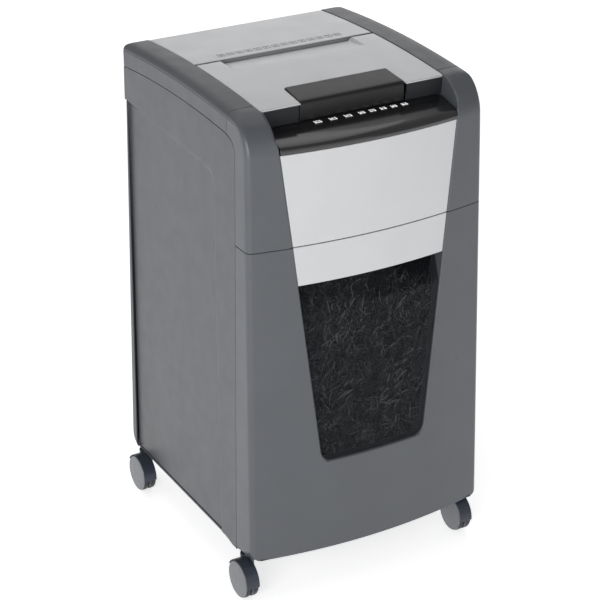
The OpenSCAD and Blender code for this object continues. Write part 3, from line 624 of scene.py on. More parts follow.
def insert_rows(zs, margin, inset):
    """Rows across the bowed insert; margin narrows it and inset sets it back."""
    rows = []
    for z in zs:
        w = insert_at(z) - (margin(z) if callable(margin) else margin)
        d = inset(z) if callable(inset) else inset
        rows.append([(x, front_at(z) + bow(x) + d, z) for x in spread(-w, w, 25)])
    return rows


panel_zs = [SPLIT + 0.4, SPLIT + 4, 570, 600, 630, 660, PANEL_TOP - 4, PANEL_TOP]
piece("front_panel_sheet", [solid(grid(insert_rows(panel_zs, 0.6, 2.0)), 2.5, 0.8)], SILVER,
      "cabinet", ["front_panel"])


# control panel: rolled front lip as (inset, height), then a gentle rise to its rear edge
LIP_TOP = 697.7
LIP = [(3.2, PANEL_TOP + 0.7), (1.0, PANEL_TOP + 1.4), (0.2, PANEL_TOP + 3.4), (0.3, 689.6),
       (1.2, 691.8), (3.0, 694.0), (5.6, 695.7), (8.6, 696.9), (12.0, LIP_TOP)]
PANEL_Y = front_at(681)  # front face above the silver panel
CONTROL_REAR = hi("control_panel", Y)
CONTROL_X = hi("control_panel", X)


def control_z(t):
    """Height of the control panel from its lip, t = 0, to its rear edge, t = 1."""
    return LIP_TOP + 7.5 * t + 2.1 * t * (1 - t)


def ledge_front(x):
    """Where the lip of the control panel ends."""
    return PANEL_Y + bow(x) + LIP[-1][0]


def control_point(x, t):
    y0 = ledge_front(x)
    return (x, y0 + (CONTROL_REAR - y0) * t, control_z(t))


control_rows = []
control_xs = [CONTROL_X * k for k in np.linspace(-1, 1, 33)]
for inset, z in LIP:
    control_rows.append([(x, PANEL_Y + bow(x) + inset, z) for x in control_xs])
for t in (0.12, 0.25, 0.4, 0.55, 0.7, 0.82, 0.92, 1.0):
    control_rows.append([control_point(x, t) for x in control_xs])
piece("control_panel_shell", [solid(grid(control_rows), 2.4, 0.8)], GLOSS, "cabinet",
      ["control_panel"])


MARK_H = 0.25  # height that printed marks stand proud


# symbols on the control panel
def printed(outline, z):
    return plate(outline, z + MARK_H, MARK_H, 0.01, steps=1)


def ring_flat(cx, cy, r, w, z, a0=0, a1=360, n=20):
    """Flat arc band, in two halves where it closes."""
    outer, inner = [], []
    for b in spread(math.radians(a0), math.radians(a1), n + 1):
        c, s = math.cos(b), math.sin(b)
        outer.append((cx + (r + w / 2) * c, cy + (r + w / 2) * s))
        inner.append((cx + (r - w / 2) * c, cy + (r - w / 2) * s))
    if a1 - a0 < 360:
        return printed(outer + inner[::-1], z)
    half = len(outer) // 2
    return join(printed(outer[:half + 1] + inner[:half + 1][::-1], z),
                printed(outer[half:] + inner[half:][::-1], z))


def bar(x0, y0, x1, y1, w, z):
    """Flat stroke from one point to another."""
    d = math.hypot(x1 - x0, y1 - y0)
    nx, ny = -(y1 - y0) / d * w / 2, (x1 - x0) / d * w / 2
    return printed([(x0 - nx, y0 - ny), (x1 - nx, y1 - ny), (x1 + nx, y1 + ny), (x0 + nx, y0 + ny)], z)


def frame_mark(cx, cy, s, w, z):
    """Square outline of side s."""
    h, e = s / 2, (s - w) / 2
    ends = (-h, -e, h, -e), (-h, e, h, e), (-e, -h, -e, h), (e, -h, e, h)
    return join(*(bar(cx + x0, cy + y0, cx + x1, cy + y1, w, z) for x0, y0, x1, y1 in ends))


def triangle(cx, cy, s, z, turn):
    corners = [math.radians(turn + 120 * k) for k in range(3)]
    return printed([(cx + s * math.cos(b), cy + s * math.sin(b)) for b in corners], z)


def glyph(kind, cx, cy, z):
    """One generic symbol about 5 mm across."""
    def bars(w, *lines):
        return [bar(cx + x0, cy + y0, cx + x1, cy + y1, w, z) for x0, y0, x1, y1 in lines]
    if kind == "power":
        return join(ring_flat(cx, cy, 2.7, 1.0, z, 120, 420), *bars(1.1, (0, 0.4, 0, 3.5)))
    if kind == "back":
        return join(triangle(cx - 0.8, cy, 2.6, z, 180), *bars(1.1, (0, 0, 3, 0)))
    if kind == "forward":
        return join(triangle(cx + 0.8, cy, 2.6, z, 0), *bars(1.1, (-3, 0, 0, 0)))
    if kind == "dot":
        return ring_flat(cx, cy, 1.1, 2.0, z, n=16)
    if kind == "ring":
        return ring_flat(cx, cy, 2.3, 0.9, z)
    if kind == "wedge":
        return triangle(cx, cy, 3.0, z, 90)
    if kind == "bars":
        return join(*bars(1, *((x, -1.8, x, 1.8) for x in (-2.4, 0, 2.4))))
    return join(*bars(1.1, (-2.4, 1.9, 2.4, 1.9), (0, -2.4, 0, 1.6)))  # a plain tee


KEY, LAMP = 10.4, 8.6  # sides of the key and lamp tiles
KEY_END, LAMP_END = 5.3, 4.3  # from the end of a row to the middle of its first tile
key_xs = spread(lo("touch_keys", X) + KEY_END, hi("touch_keys", X) - KEY_END, 3)
lamp_xs = spread(lo("indicators", X) + LAMP_END, hi("indicators", X) - LAMP_END, 5)


def surface_z(x, y):
    """Height of the control panel at a place on its ledge."""
    y0 = ledge_front(x)
    return control_z(min(1.0, max(0.0, (y - y0) / (CONTROL_REAR - y0))))


def key_set(name, xs, size, kinds, node):
    """Row of square tiles with a printed frame and symbol each."""
    y, h = mid(node, Y), size / 2
    tiles, marks = [], []
    for x, kind in zip(xs, kinds):
        z = surface_z(x, y)
        tiles.append(plate(rect(x - h, y - h, x + h, y + h, 1.0), z + 0.15, 0.8, 0.12, steps=1))
        marks.append(frame_mark(x, y, size, 1.4, z + 0.12))
        marks.append(glyph(kind, x, y, z + 0.12))
    piece(name, tiles + marks, [GLOSS, MARKS], "cabinet", [node],
          marks=[0] * len(tiles) + [1] * len(marks))


key_set("touch_key_tiles", key_xs, KEY, ["power", "back", "forward"], "touch_keys")
key_set("indicator_tiles", lamp_xs, LAMP, ["wedge", "tee", "bars", "dot", "ring"], "indicators")


# ---- sides
SEAM_PEAK, SEAM_PEAK_Y, SEAM_R = 709.2, 22, 1750


def seam_top(y):
    """Upper seam of the side panels: up behind the posts, then a long shallow arch."""
    if y < TRIM_Y:
        return float(np.interp(y, *zip(*SEAM_PTS)))
    return SEAM_PEAK - (y - SEAM_PEAK_Y) ** 2 / (2 * SEAM_R)


def side_bottom(y):
    """Lower edge of the side panels: a step down near the front and a rounded rear corner."""
    z = BOTTOM - 3.6 * smooth(99, 130, -y)
    centre = rear_at(BOTTOM + HEEL) - HEEL
    return z + (shortfall(HEEL, y - centre) if y > centre else 0.0)


def emboss_y(z):
    """Front edge of the shallow field at a height."""
    return float(np.interp(z, [61, 440, 612, 700], [-93, -81, -79, -79]))


def emboss_z(y):
    """Upper edge of the shallow field at a depth."""
    return 634 + max(0.0, y + 60) * 14 / 290


def emboss_depth(y, z):
    """Depth of the shallow field in a side panel, with a round upper front corner."""
    r = 20.0
    d1, d2 = y - emboss_y(z), emboss_z(y) - z
    if d1 > r and d2 > r:
        sd = min(d1, d2)
    else:
        sd = r - math.hypot(max(0.0, r - d1), max(0.0, r - d2))
    return EMBOSS * smooth(-EMBOSS_SOFT, EMBOSS_SOFT, sd)


BAND = 9  # half width of the fine rows along the field's edge


def side_part():
    """Side panel: its rows and columns crowd together along the edge of the shallow field."""
    a0, a1 = SEAM_Y + GAP, REAR - 8.3
    near = -96.0  # where the columns before the field end
    nominal = [a0, a0 + 1.6, a0 + 3.8, -136, -132, -127, -121, -112, -104, near]
    offsets = [-8, -6, -4.5, -3.4, -2.6, -1.9, -1.2, -0.6, 0, 0.6, 1.2, 1.9, 2.6, 3.4, 4.5, 6, BAND]
    tail = [0.03, 0.08, 0.15, 0.25, 0.38, 0.52, 0.66, 0.78, 0.87, 0.925, 0.955, 0.98, 1.0]
    lower = [0, 0.006, 0.02, 0.05, 0.1, 0.2, 0.32, 0.45, 0.58, 0.7, 0.8, 0.87, 0.92, 0.955,
             0.98, 1.0]
    upper = [0.12, 0.3, 0.5, 0.7, 0.85, 0.95, 1.0]

    def column_y(kind, value, z):
        line = emboss_y(z)
        if kind == "before":
            return a0 + (line - BAND - 1 - a0) * ((value - a0) / (near - a0))
        if kind == "band":
            return line + value
        return line + BAND + (a1 - line - BAND) * value

    def row_z(kind, value, y):
        bottom, line, top = side_bottom(y), emboss_z(y), seam_top(y) - GAP
        if kind == "before":
            z = bottom + (line - BAND - bottom) * value
        elif kind == "band":
            z = line + value
        else:
            z = line + BAND + (top - line - BAND) * value
        return min(z, top)

    def steps(before, after):
        return ([("before", v) for v in before] + [("band", v) for v in offsets]
                + [("after", v) for v in after])

    rows = []
    for spec in steps(lower, upper):
        row = []
        for column in steps(nominal, tail):
            z = row_z(*spec, column_y(*column, 400))
            y = column_y(*column, z)
            row.append((half_at(z) - emboss_depth(y, z), y, z))
        rows.append(row)
    return solid(grid(rows), 3.0, lambda p: 0.45 if p[1] < a0 + 1 or p[2] > 640 else 1.2)


both_sides("side", [side_part()], GREY)


def rear_arc(h, yr, r):
    """Rear corner in plan, from the side to the rear face."""
    angles = [math.pi / 2 * i / 6 for i in range(7)]
    return [(h - r + r * math.cos(b), yr - r + r * math.sin(b)) for b in angles]


def rear_path(z, y0, x_end):
    """Plan of the right side from y0 to the rear, round the corner, to x_end on the rear face."""
    h, yr, r = half_at(z), rear_at(z), REAR_R
    pts = [(h, y, z) for y in spread(y0, yr - r, 14)]
    pts += [(x, y, z) for x, y in rear_arc(h, yr, r)[1:]]
    return pts + [(x, yr, z) for x in spread(h - r, x_end, 4)[1:]]


def fin(x0, x1, y0, y1, z0, below):
    """Upright wall along the arch; its upper edge stays below the top by the given distance."""
    outline = [(y0, z0), (y1, z0)]
    outline += [(y, TOP - below - arch_drop(y)) for y in np.linspace(y1, y0, 14)]
    return plate(outline, x1, x1 - x0, 0.3, both=True, along_x=True)


def trim_part():
    """Side trim under the arch, from the side seam over the edge to the lid."""
    y0, x_in, low = TRIM_Y + GAP, LID_X + GAP, TOP - 13
    rows = []
    for t in (0.0, 0.25, 0.6, 1.0):
        out = []
        for x, y, _ in rear_path(low, y0, x_in):
            zl = flat_z(y, seam_top(y) + GAP)
            out.append((x, y, zl + (low - zl) * t))
        rows.append(out)
    for d in [10.5] + RIM_DEPTH[::-1]:
        rows.append(rear_path(TOP - d, y0, x_in))
    top = rows[-1]
    y_last = top[-1][1]
    for t in (0.45, 0.85, 1.0):
        rows.append([(x + (x_in - x) * t, y + (min(y, y_last) - y) * t, z) for x, y, z in top])
    edge = lambda p: 1.1 if p[0] < x_in + 0.5 and p[2] > TOP - 3 else 0.5
    shell = solid(grid(rows), 3.0, edge)
    return [arched(shell), fin(x_in + 0.05, x_in + 2.9, y0 + 0.6, REAR - 9, 703, 1.4)]


both_sides("trim", trim_part(), TRIM)


# ---- rear
def masked(rows, keep):
    """Grid without the cells that keep() turns down."""
    v, f = grid(rows)
    out = [g for g in f if keep(sum(v[i][0] for i in g) / 4, sum(v[i][2] for i in g) / 4)]
    used = sorted(set(i for g in out for i in g))
    index = {i: k for k, i in enumerate(used)}
    return [v[i] for i in used], [[index[i] for i in g] for g in out]


VENT_X, VENT_Z = (-90, 0, 90), [420 + 14 * k for k in range(8)]
VENT_HALF, VENT_H = 32, 5  # half width and height of a vent slot
INLET_X, INLET_Z = mid("mains_inlet", X), mid("mains_inlet", Z)
SWITCH_X = mid("switch_frame", X)
INLET_HALF, SWITCH_HALF = (14.2, 12.2), (11.2, 15.2)  # half sizes of the two openings


def rear_outline(z, xs, heel):
    """Rear plan from one side to the other with points at the xs given. heel rounds it in
    towards the floor."""
    h, yr = half_at(z), rear_at(z)
    if heel and z < BOTTOM + HEEL:
        yr -= shortfall(HEEL, BOTTOM + HEEL - z)
    y0 = min(REAR_LAP, yr - 1.2)
    r = min(REAR_R, yr - y0)
    right = [(h, min(y0, yr - r - 0.05))] + rear_arc(h, yr, r)
    pts = [(x, y, z) for x, y in right] + [(x, yr, z) for x in sorted(xs, reverse=True)]
    return pts + [(-x, y, z) for x, y in right[::-1]]


def rear_panel_part():
    """Rear panel with its vents and the openings for the inlet and the switch."""
    (ix, iz), (sx, sz) = INLET_HALF, SWITCH_HALF
    xs = [-175, -160, 160, 175, INLET_X - ix, INLET_X + ix, SWITCH_X - sx, SWITCH_X + sx]
    xs += [x + d for x in VENT_X for d in (-VENT_HALF, VENT_HALF)]
    zs = rise(BOTTOM + GAP, HEEL, (0, 15, 30, 45, 60, 75, 90))
    zs += [110, 160, 220, 280, 340, 400, 560, 640, JOG - GAP]
    zs += [z + d for z in VENT_Z for d in (0, VENT_H)] + [INLET_Z + d for d in (-sz, -iz, iz, sz)]
    rows = [rear_outline(z, xs, True) for z in sorted(zs)]

    def keep(x, z):
        vent = (any(abs(x - v) < VENT_HALF for v in VENT_X)
                and any(v < z < v + VENT_H for v in VENT_Z))
        inlet = abs(x - INLET_X) < ix and abs(z - INLET_Z) < iz
        switch = abs(x - SWITCH_X) < sx and abs(z - INLET_Z) < sz
        return not (vent or inlet or switch)

    return solid(masked(rows, keep), 3.0, 0.6, steps=2)


piece("rear_panel_shell", [rear_panel_part()], GREY, "cabinet", ["rear_panel"])


def head_rear_part():
    """Rear wall of the head; above its shoulder only the part between the trims."""
    shoulder = 699
    xs = [-LID_X + GAP, LID_X - GAP, -70, 0, 70, -165, 165]
    zs = [JOG + GAP, JOG + 6, 665, 680, 692, shoulder, 710, 720, 726, 729.5]
    rows = [rear_outline(z, xs, False) for z in zs]
    return solid(masked(rows, lambda x, z: z < shoulder or abs(x) < LID_X), 3.0, 0.7)


piece("head_rear_shell", [head_rear_part()], GREY, "cabinet", ["head_rear"])


# ---- top
HANDLE_FRONT, HANDLE_REAR = lo("handle", Y), hi("handle", Y)
HANDLE_GAP = 0.5  # clearance of the lid sheet beside the handle
SCOOP_X, SCOOP_Y, SCOOP_DROP = 107.5, 11.0, 4.8  # half width, front end, depth


def handle_side(y, side):
    """Half width of the handle on one side at a depth, with round rear corners."""
    w = float(np.interp(y, [HANDLE_FRONT, HANDLE_REAR], [83.4, 80.0])) if side < 0 else 83.8
    r = 3.0
    return w - shortfall(r, max(0.0, r - (HANDLE_REAR - y)))


def lid_part():
    """Lid sheet: arms beside the handle, a middle field, and arms beside the hand scoop."""
    e, corner, across = hi("lid_panel", X), 3.0, 6
    parts = []

    def outer(y, side):
        return side * (e - shortfall(corner, max(0.0, corner - (y - LID_FRONT))))

    def handle_edge(y, side):
        return side * (handle_side(y, side) + HANDLE_GAP)

    def scoop_edge(y, side):
        r = 7.0
        return side * (SCOOP_X - shortfall(r, max(0.0, r - (y - SCOOP_Y))))

    def arms(ys, out, inner):
        for side in (-1, 1):
            rows = []
            for y in ys:
                xs = np.linspace(out(y, side), inner(y, side), across)
                rows.append([(x, y, LID_TOP) for x in (xs if side < 0 else xs[::-1])])
            parts.append(grid(rows))

    arms([LID_FRONT + d for d in (0, 0.2, 0.8, 1.8, 3)] + list(np.linspace(-128, HANDLE_REAR - 3, 5))
         + [HANDLE_REAR - d for d in (2, 1.2, 0.6, 0.2, 0)], outer, handle_edge)
    rows = []
    for y in np.linspace(HANDLE_REAR, SCOOP_Y, 9):
        t = (y - HANDLE_REAR) / (SCOOP_Y - HANDLE_REAR)
        xl, xr = (handle_edge(HANDLE_REAR, k) * (1 - t) + scoop_edge(SCOOP_Y, k) * t for k in (-1, 1))
        xs = list(np.linspace(-e, xl, across)) + list(np.linspace(xl, xr, 9))[1:]
        xs += list(np.linspace(xr, e, across))[1:]
        rows.append([(x, y, LID_TOP) for x in xs])
    parts.append(grid(rows))
    arms([SCOOP_Y + d for d in (0, 0.15, 0.6, 1.5, 3, 5, 7, 14, 22, 30)] + [LID_REAR],
         lambda y, side: side * e, scoop_edge)
    return solid(join(*parts), 2.3, 0.8)


def scoop_part():
    """Floor of the hand scoop in front of the feed slot, rising to the lid at its ends."""
    w, y1, y2, sink = SCOOP_X + 0.1, SCOOP_Y - 0.6, LID_REAR, 0.7
    ends = [w - d for d in (0, 0.8, 1.8, 3, 4.5, 7, 12)]
    xs = [-x for x in ends] + list(np.linspace(-90, 90, 13)) + ends[::-1]
    rows = []
    for y in [y1 + d for d in (0, 1, 2.2, 4, 7, 12, 18, 24, 30, 36)] + [y2]:
        drop = (SCOOP_DROP - sink) * ((y - y1) / (y2 - y1)) ** 0.7
        rows.append([(x, y, LID_TOP - sink - drop * smooth(0, 5.5, w - abs(x))) for x in xs])
    return solid(grid(rows), 1.6, 0.3, steps=1)


piece("lid_panel_sheet", [arched(lid_part()), arched(scoop_part())], SILVER, "lid",
      ["lid_panel"])


def handle_part():
    """Handle block: over its top from the rear, round the front edge and down."""
    front, rear = HANDLE_FRONT, HANDLE_REAR
    path = [(rear, 739.0), (rear - 1.5, 738.9), (rear - 3, 738.75), (rear - 5, 738.55),
            (rear - 7, 738.35), (rear - 14, 737.7), (rear - 24, 736.8), (rear - 34, 735.8),
            (front + 8, 735.0), (front + 5, 734.6), (front + 3.2, 734.1), (front + 1.8, 733.2),
            (front + 0.8, 731.9), (front + 0.25, 730.2), (front, 728), (front, 722), (front, 714),
            (front, 707.5), (front + 0.5, 705.2), (front + 1.6, 704.3)]
    rows = []
    for y, z in path:
        a, b = -handle_side(y, -1), handle_side(y, 1)
        xs = [a, a + 2.4] + list(np.linspace(a + 8, b - 8, 15)) + [b - 2.4, b]
        rows.append([(x, y, z) for x in xs])
    return solid(grid(rows, flip=True), 5.0, 1.1)


piece("handle_block", [handle_part()], HANDLE, "lid", ["handle"])
# soft edges and a dark finish on the walls below the lid
soften("lid_liner", 0.6)
frame["nodes"]["lid_liner"].data.materials[0] = FASCIA


# lower front wall of the lid beside the handle, set back by a small step
fascia = []
for side in (-1, 1):
    x0, x1 = sorted((side * 85.5, side * (LID_X - 1.2)))
    fascia.append(brick(x0, LID_FRONT + 1.9, 706.6, x1, LID_FRONT + 3.6, 716.4, 0.4))
piece("lid_front_fascia", fascia, FASCIA, "lid")


def cover_part():
    """Rear cover: arched sheet, front wall down to the feed slot and ribs below."""
    e, y0 = LID_X - GAP, COVER_FRONT
    rows = [[(x, y, LID_TOP) for x in np.linspace(-e, e, 9)] for y in np.linspace(y0, COVER_REAR, 15)]
    top = arched(solid(grid(rows), 2.5, 1.2, steps=4))
    wall = brick(-e, y0 + 0.3, 700, e, y0 + 2.3, LID_TOP - 1.3, 0.3)
    return [top, wall] + [fin(x - 1, x + 1, y0 + 2.4, y0 + 132, 715, 3.2) for x in (-100, 0, 100)]


piece("rear_cover_sheet", cover_part(), SILVER, "cabinet", ["rear_cover"])

# a row of plain marks behind the feed slot
mark_parts = []
kinds = ["ring", "bars", "wedge", "dot", "back", "tee", "ring", "forward", "bars", "dot", "wedge",
         "ring", "tee", "bars"]
for x, kind in zip(spread(-95, 97, len(kinds)), kinds):
    place = (x, COVER_FRONT + 16)
    mark_parts.append(arched(frame_mark(*place, 10.5, 0.7, LID_TOP - 0.02)))
    mark_parts.append(arched(glyph(kind, *place, LID_TOP - 0.02)))
piece("cover_marks", mark_parts, PALE_MARKS, "cabinet")


# ---- bin
def opening_x(z):
    """Half width of the window opening, with round lower corners."""
    r = WINDOW_R
    if z < WINDOW:
        return insert_at(WINDOW) - r
    return insert_at(z) - shortfall(r, max(0.0, WINDOW + r - z))


def chin_row(z, x_in):
    """Right half of the bin front at a height. Its lower corners are round at the front and
    fade out towards the side seam."""
    h, yf = half_at(z), front_at(z)
    xs, cx, cy, a = corner_of(h, yf, CORNER)
    edge = h - shortfall(CHIN_R, max(0.0, BOTTOM + CHIN_R - z))
    last = min(xs, edge)
    pts = [(x_in, yf + bow(x_in), z)]
    pts += [(x, yf + bow(x), z) for x in spread(min(x_in + 5, last - 2), last, 9)]
    b0 = a - math.pi / 2
    b1 = -math.acos(min(1.0, (edge - cx) / CORNER)) if edge > xs else b0
    for b in spread(b0, b1, 8)[1:]:
        pts.append((cx + CORNER * math.cos(b), cy + CORNER * math.sin(b), z) if edge > xs else pts[-1])
    x, y0, _ = pts[-1]
    y_end = SEAM_Y - GAP
    for t in spread(0, 1, 9)[1:]:
        pts.append((x + (h - x) * t ** 0.5, y0 + (y_end - 2.2 - y0) * t, z))
    return pts + [(h, y_end, z)]


def bin_front_part():
    """Bin front: the halves beside the window and the field below it."""
    arc = rise(WINDOW, WINDOW_R, (0, 18, 36, 54, 72, 90))
    chin = rise(BOTTOM, CHIN_R, range(0, 91, 9)) + [100, 130, 160, 190]
    ups = [244, 280, 320, 360, 400, 440, 480, 515, SPLIT - 5, SPLIT - GAP]
    rows = [chin_row(z, opening_x(z)) for z in chin + arc + ups]
    right = grid(rows)
    below = []
    for row in rows[:len(chin) + 1]:
        w, _, z = row[0]
        below.append([(x, front_at(z) + bow(x), z) for x in spread(-w, w, 11)])

    def edge(p):
        inside = abs(p[0]) < insert_at(p[2]) + 2 and WINDOW - 1 < p[2] < SPLIT - 2
        return 2.6 if inside else 0.9

    return solid(join(right, mirrored(right), grid(below)), 3.2, edge, steps=4)


def bin_floor():
    """Plate that closes the bin front below."""
    x1, side, y = half_at(BOTTOM) - CHIN_R - 1, half_at(BOTTOM) - 2.5, SEAM_Y - 1
    front = [(x, front_at(BOTTOM) + bow(x) + 1.5) for x in np.linspace(-x1, x1, 17)]
    return plate(front + [(side, y), (-side, y)], BOTTOM + 3.2, 3.0, 0.2)


def opening_frame():
    """Walls of the window opening, from the front face in to the tub."""
    thick, y_in = 2.4, -164.0
    arc = rise(WINDOW, WINDOW_R, (0, 15, 30, 45, 60, 75, 90))
    right = [(opening_x(z), z) for z in arc + list(np.linspace(235, SPLIT - 2, 9))]
    bottom = [(x, WINDOW) for x in np.linspace(-right[0][0], right[0][0], 13)]
    path = [(-x, z) for x, z in right[::-1]] + bottom[1:-1] + right
    rows = [[], [], [], []]
    for k, (x, z) in enumerate(path):
        a, b = path[max(0, k - 1)], path[min(len(path) - 1, k + 1)]
        d = math.hypot(b[0] - a[0], b[1] - a[1])
        xo, zo = x + (b[1] - a[1]) / d * thick, z - (b[0] - a[0]) / d * thick
        yf = front_at(z) + bow(x) + 3.0
        for row, p in zip(rows, ((x, yf, z), (xo, yf, zo), (xo, y_in, zo), (x, y_in, z))):
            row.append(p)
    v, f = grid(rows + [rows[0]])
    n = len(path)
    f.append([0, n, 2 * n, 3 * n])
    f.append([n - 1, 2 * n - 1, 3 * n - 1, 4 * n - 1][::-1])
    return weld(v, f)


piece("bin_front_shell", [bin_front_part(), opening_frame(), bin_floor()], GREY_FRONT_LIT_COPY, "bin",
      ["bin_front"])

strip_zs = [STRIP, STRIP + 3, 505, 520, 535, SPLIT - 4, SPLIT - 0.6]
piece("pull_strip", [solid(grid(insert_rows(strip_zs, 0.5, 2.0)), 2.5, 0.9)], SILVER, "bin",
      ["bin_strip"])

# the window leans in from LEAN_Z, over LEAN_RUN of height, to its recess below the pull strip
LEAN_Z, LEAN_RUN, RECESS = 447.0, 50.0, 27.0


def window_inset(z):
    return 3.2 + RECESS * min(1.0, max(0.0, (z - LEAN_Z) / LEAN_RUN))


def window_margin(z):
    return insert_at(z) - opening_x(z) + 0.8


window_zs = [WINDOW + d for d in (0.5, 1.2, 2.6, 5, 8.5, 12.5, 16)]
window_zs += [250, 300, 350, 400, 430, 443, 446, 448.5, 452, 465, 480, 492, 495, 498, 504, 520,
              SPLIT - 5]
piece("window_sheet", [solid(grid(insert_rows(window_zs, window_margin, window_inset)), 2.5, 0.5)],
      TINT, "bin", ["bin_window"])


# paper shreds behind the window
def heap_top(x):
    """Height of the shreds against the window: full on the left, lower on the right."""
    xs, tops = [-125, -60, 0, 25, 45, 62, 80, 125], [520, 520, 518, 500, 474, 456, 446, 440]
    return float(np.interp(x, xs, tops))


def window_back(x, z):
    """Rear face of the window sheet."""
    return front_at(z) + bow(x) + window_inset(z) + 2.5


rng = random.Random(7)


def heap_part():
    """Lumpy body of the heap behind the loose strips, near black as painted shade in the depth of the
    pile; its last rows run back over the top.
    """
    rows, crest = [], 0.8
    for t in spread(0, 1, 34):
        row = []
        for x in spread(-160, 160, 31):
            top = heap_top(x) - 6
            z = 80 + (top - 80) * min(1, t / crest)
            bump = 5 * math.sin(x * 0.11 + z * 0.07) + 4 * math.sin(z * 0.19 - x * 0.05)
            y = window_back(x, min(z, LEAN_Z)) + 34 + bump + rng.uniform(-2, 2)
            if t > crest:
                back = (t - crest) / (1 - crest)
                y += back * 110
                z = top + 7 * back + rng.uniform(-2, 2)
            row.append((x, min(y, 150), z))
        rows.append(row)
    return solid(grid(rows), 8.0, 0.4, steps=1)


def shred(x, y, z, length, width, turn, tilt, curl):
    """Thin curled strip of paper. turn is its angle in the plane of the window."""
    n = 4
    verts, faces = [], []
    flat = math.cos(tilt)
    d = np.array([math.cos(turn) * flat, math.sin(tilt) * 0.45, math.sin(turn) * flat])
    side = np.array([-math.sin(turn), 0.35, math.cos(turn)])
    side /= np.linalg.norm(side)
    for i in range(n + 1):
        s = (i / n - 0.5) * length
        b = curl * ((i / n - 0.5) ** 2) * length
        c = np.array([x, y, z]) + d * s + side * b
        c[1] += 0.6 * math.sin(i * 1.7 + turn)
        w = np.array([0, 0.6, 0]) * width / 2 + side * width / 2
        verts += [tuple(c - w), tuple(c + w)]
    for i in range(n):
        faces.append([2 * i, 2 * i + 1, 2 * i + 3, 2 * i + 2])
    return verts, faces


def shreds_part(count, depth):
    """Loose strips between the window and the heap, up to its top."""
    strips = []
    while len(strips) < count:
        z = rng.uniform(WINDOW - 6, 512)
        w = insert_at(z) + 8
        x = rng.uniform(-w, w)
        if z > heap_top(x) + rng.uniform(-10, 6):
            continue
        y = window_back(x, min(z, LEAN_Z)) + 1.4 + depth * rng.random() ** 1.3
        y = max(y, window_back(x, z + 12) + 12)
        strips.append(shred(x, y, z, rng.uniform(12, 34), rng.uniform(0.8, 1.6),
                            rng.uniform(0, math.pi), rng.uniform(-0.35, 0.35),
                            rng.uniform(-0.9, 0.9)))
    return join(*strips)


piece("shred_mass", [heap_part()], HEAP_PAINTED_SHADE, "bin")
# darker copies of the paper fill the depth as painted shade, and the lightest lie against the window
# as painted light
for tag, colour, count, depth in (("_deep_painted_shade", (0.032, 0.033, 0.035), 3600, 22),
                                  ("", (0.085, 0.087, 0.09), 1500, 12),
                                  ("_near_window_painted_light", (0.21, 0.213, 0.22), 420, 7)):
    paper = finish("paper_shreds" + tag, colour, 0.8, vary=0.25, mottle=60, grain=900,
                   grain_depth=0.03, specular=0.2)
    piece("shred_strips" + tag, [shreds_part(count, depth)], paper, "bin",
          soft_normals=False)

soften("bin_tub", 0.8)
soften("base", 0.8)
for name in ("deck", "feed_tray", "press_plate", "plate_left", "plate_right", "mains_inlet",
             "switch_frame", "bin_rails"):
    soften(name, 0.4)


# ---- casters
WHEEL_R = hi("wheels_fl", Z) / 2
SHIFT = mid("stem_fl", X) - mid("wheels_fl", X)
TRAIL = mid("stem_fl", Y) - mid("wheels_fl", Y)
HALF_PAIR = (hi("wheels_fl", X) - lo("wheels_fl", X)) / 2
BOSS_R, BORE_R = 10.4, 3.56  # boss around the stem and its bore
BOSS_FLAT, BOSS_SHOULDER = 3.95, 53.5  # flat of the boss beside the wheels, and its top


def placed(part, stem, turn):
    """Part of a caster turned about its stem and moved to it."""
    c, s = math.cos(turn), math.sin(turn)
    x, y = stem
    return [(x + p[0] * c - p[1] * s, y + p[0] * s + p[1] * c, p[2]) for p in part[0]], part[1]


def hood_part(stem, turn):
    """Mudguard over both wheels, the web between them and the boss for the stem."""
    r_out, w = WHEEL_R + 2, HALF_PAIR
    half = [(3, 0), (w - 1.4, 0), (w - 0.5, -0.25), (w, -0.7)]
    section = [(-x, dr) for x, dr in half[::-1]] + half
    rows = []
    for k in range(37):
        a = math.radians(-4 + 156.5 * k / 36)
        rows.append([(x - SHIFT, -TRAIL - (r_out + dr) * math.cos(a),
                      WHEEL_R + (r_out + dr) * math.sin(a)) for x, dr in section])
    band = solid(grid(rows), 1.1, 0.3)
    r = WHEEL_R + 1
    around = [math.radians(a) for a in range(-30, 211, 8)]
    web = plate([(-TRAIL + r * math.cos(a), WHEEL_R + r * math.sin(a)) for a in around],
                1.9 - SHIFT, 3.8, 0.4, both=True, along_x=True)
    rows, n = [], 40
    for r, z in ((0.01, 28.6), (9.6, 28.6), (BOSS_R, 29.4), (BOSS_R, 53.4), (BOSS_R, 53.6),
                 (BOSS_R, 57.8), (10.1, 58.5), (9.4, 58.9), (3.6, 59.0), (BORE_R, 44.4),
                 (0.01, 44.4)):
        row = []
        for i in range(n + 1):
            b = 2 * math.pi * i / n
            x = r * math.cos(b)
            row.append((max(x, -BOSS_FLAT) if z < BOSS_SHOULDER else x, r * math.sin(b), z))
        rows.append(row)
    return [placed(part, stem, turn) for part in (band, web, weld(*grid(rows)))]


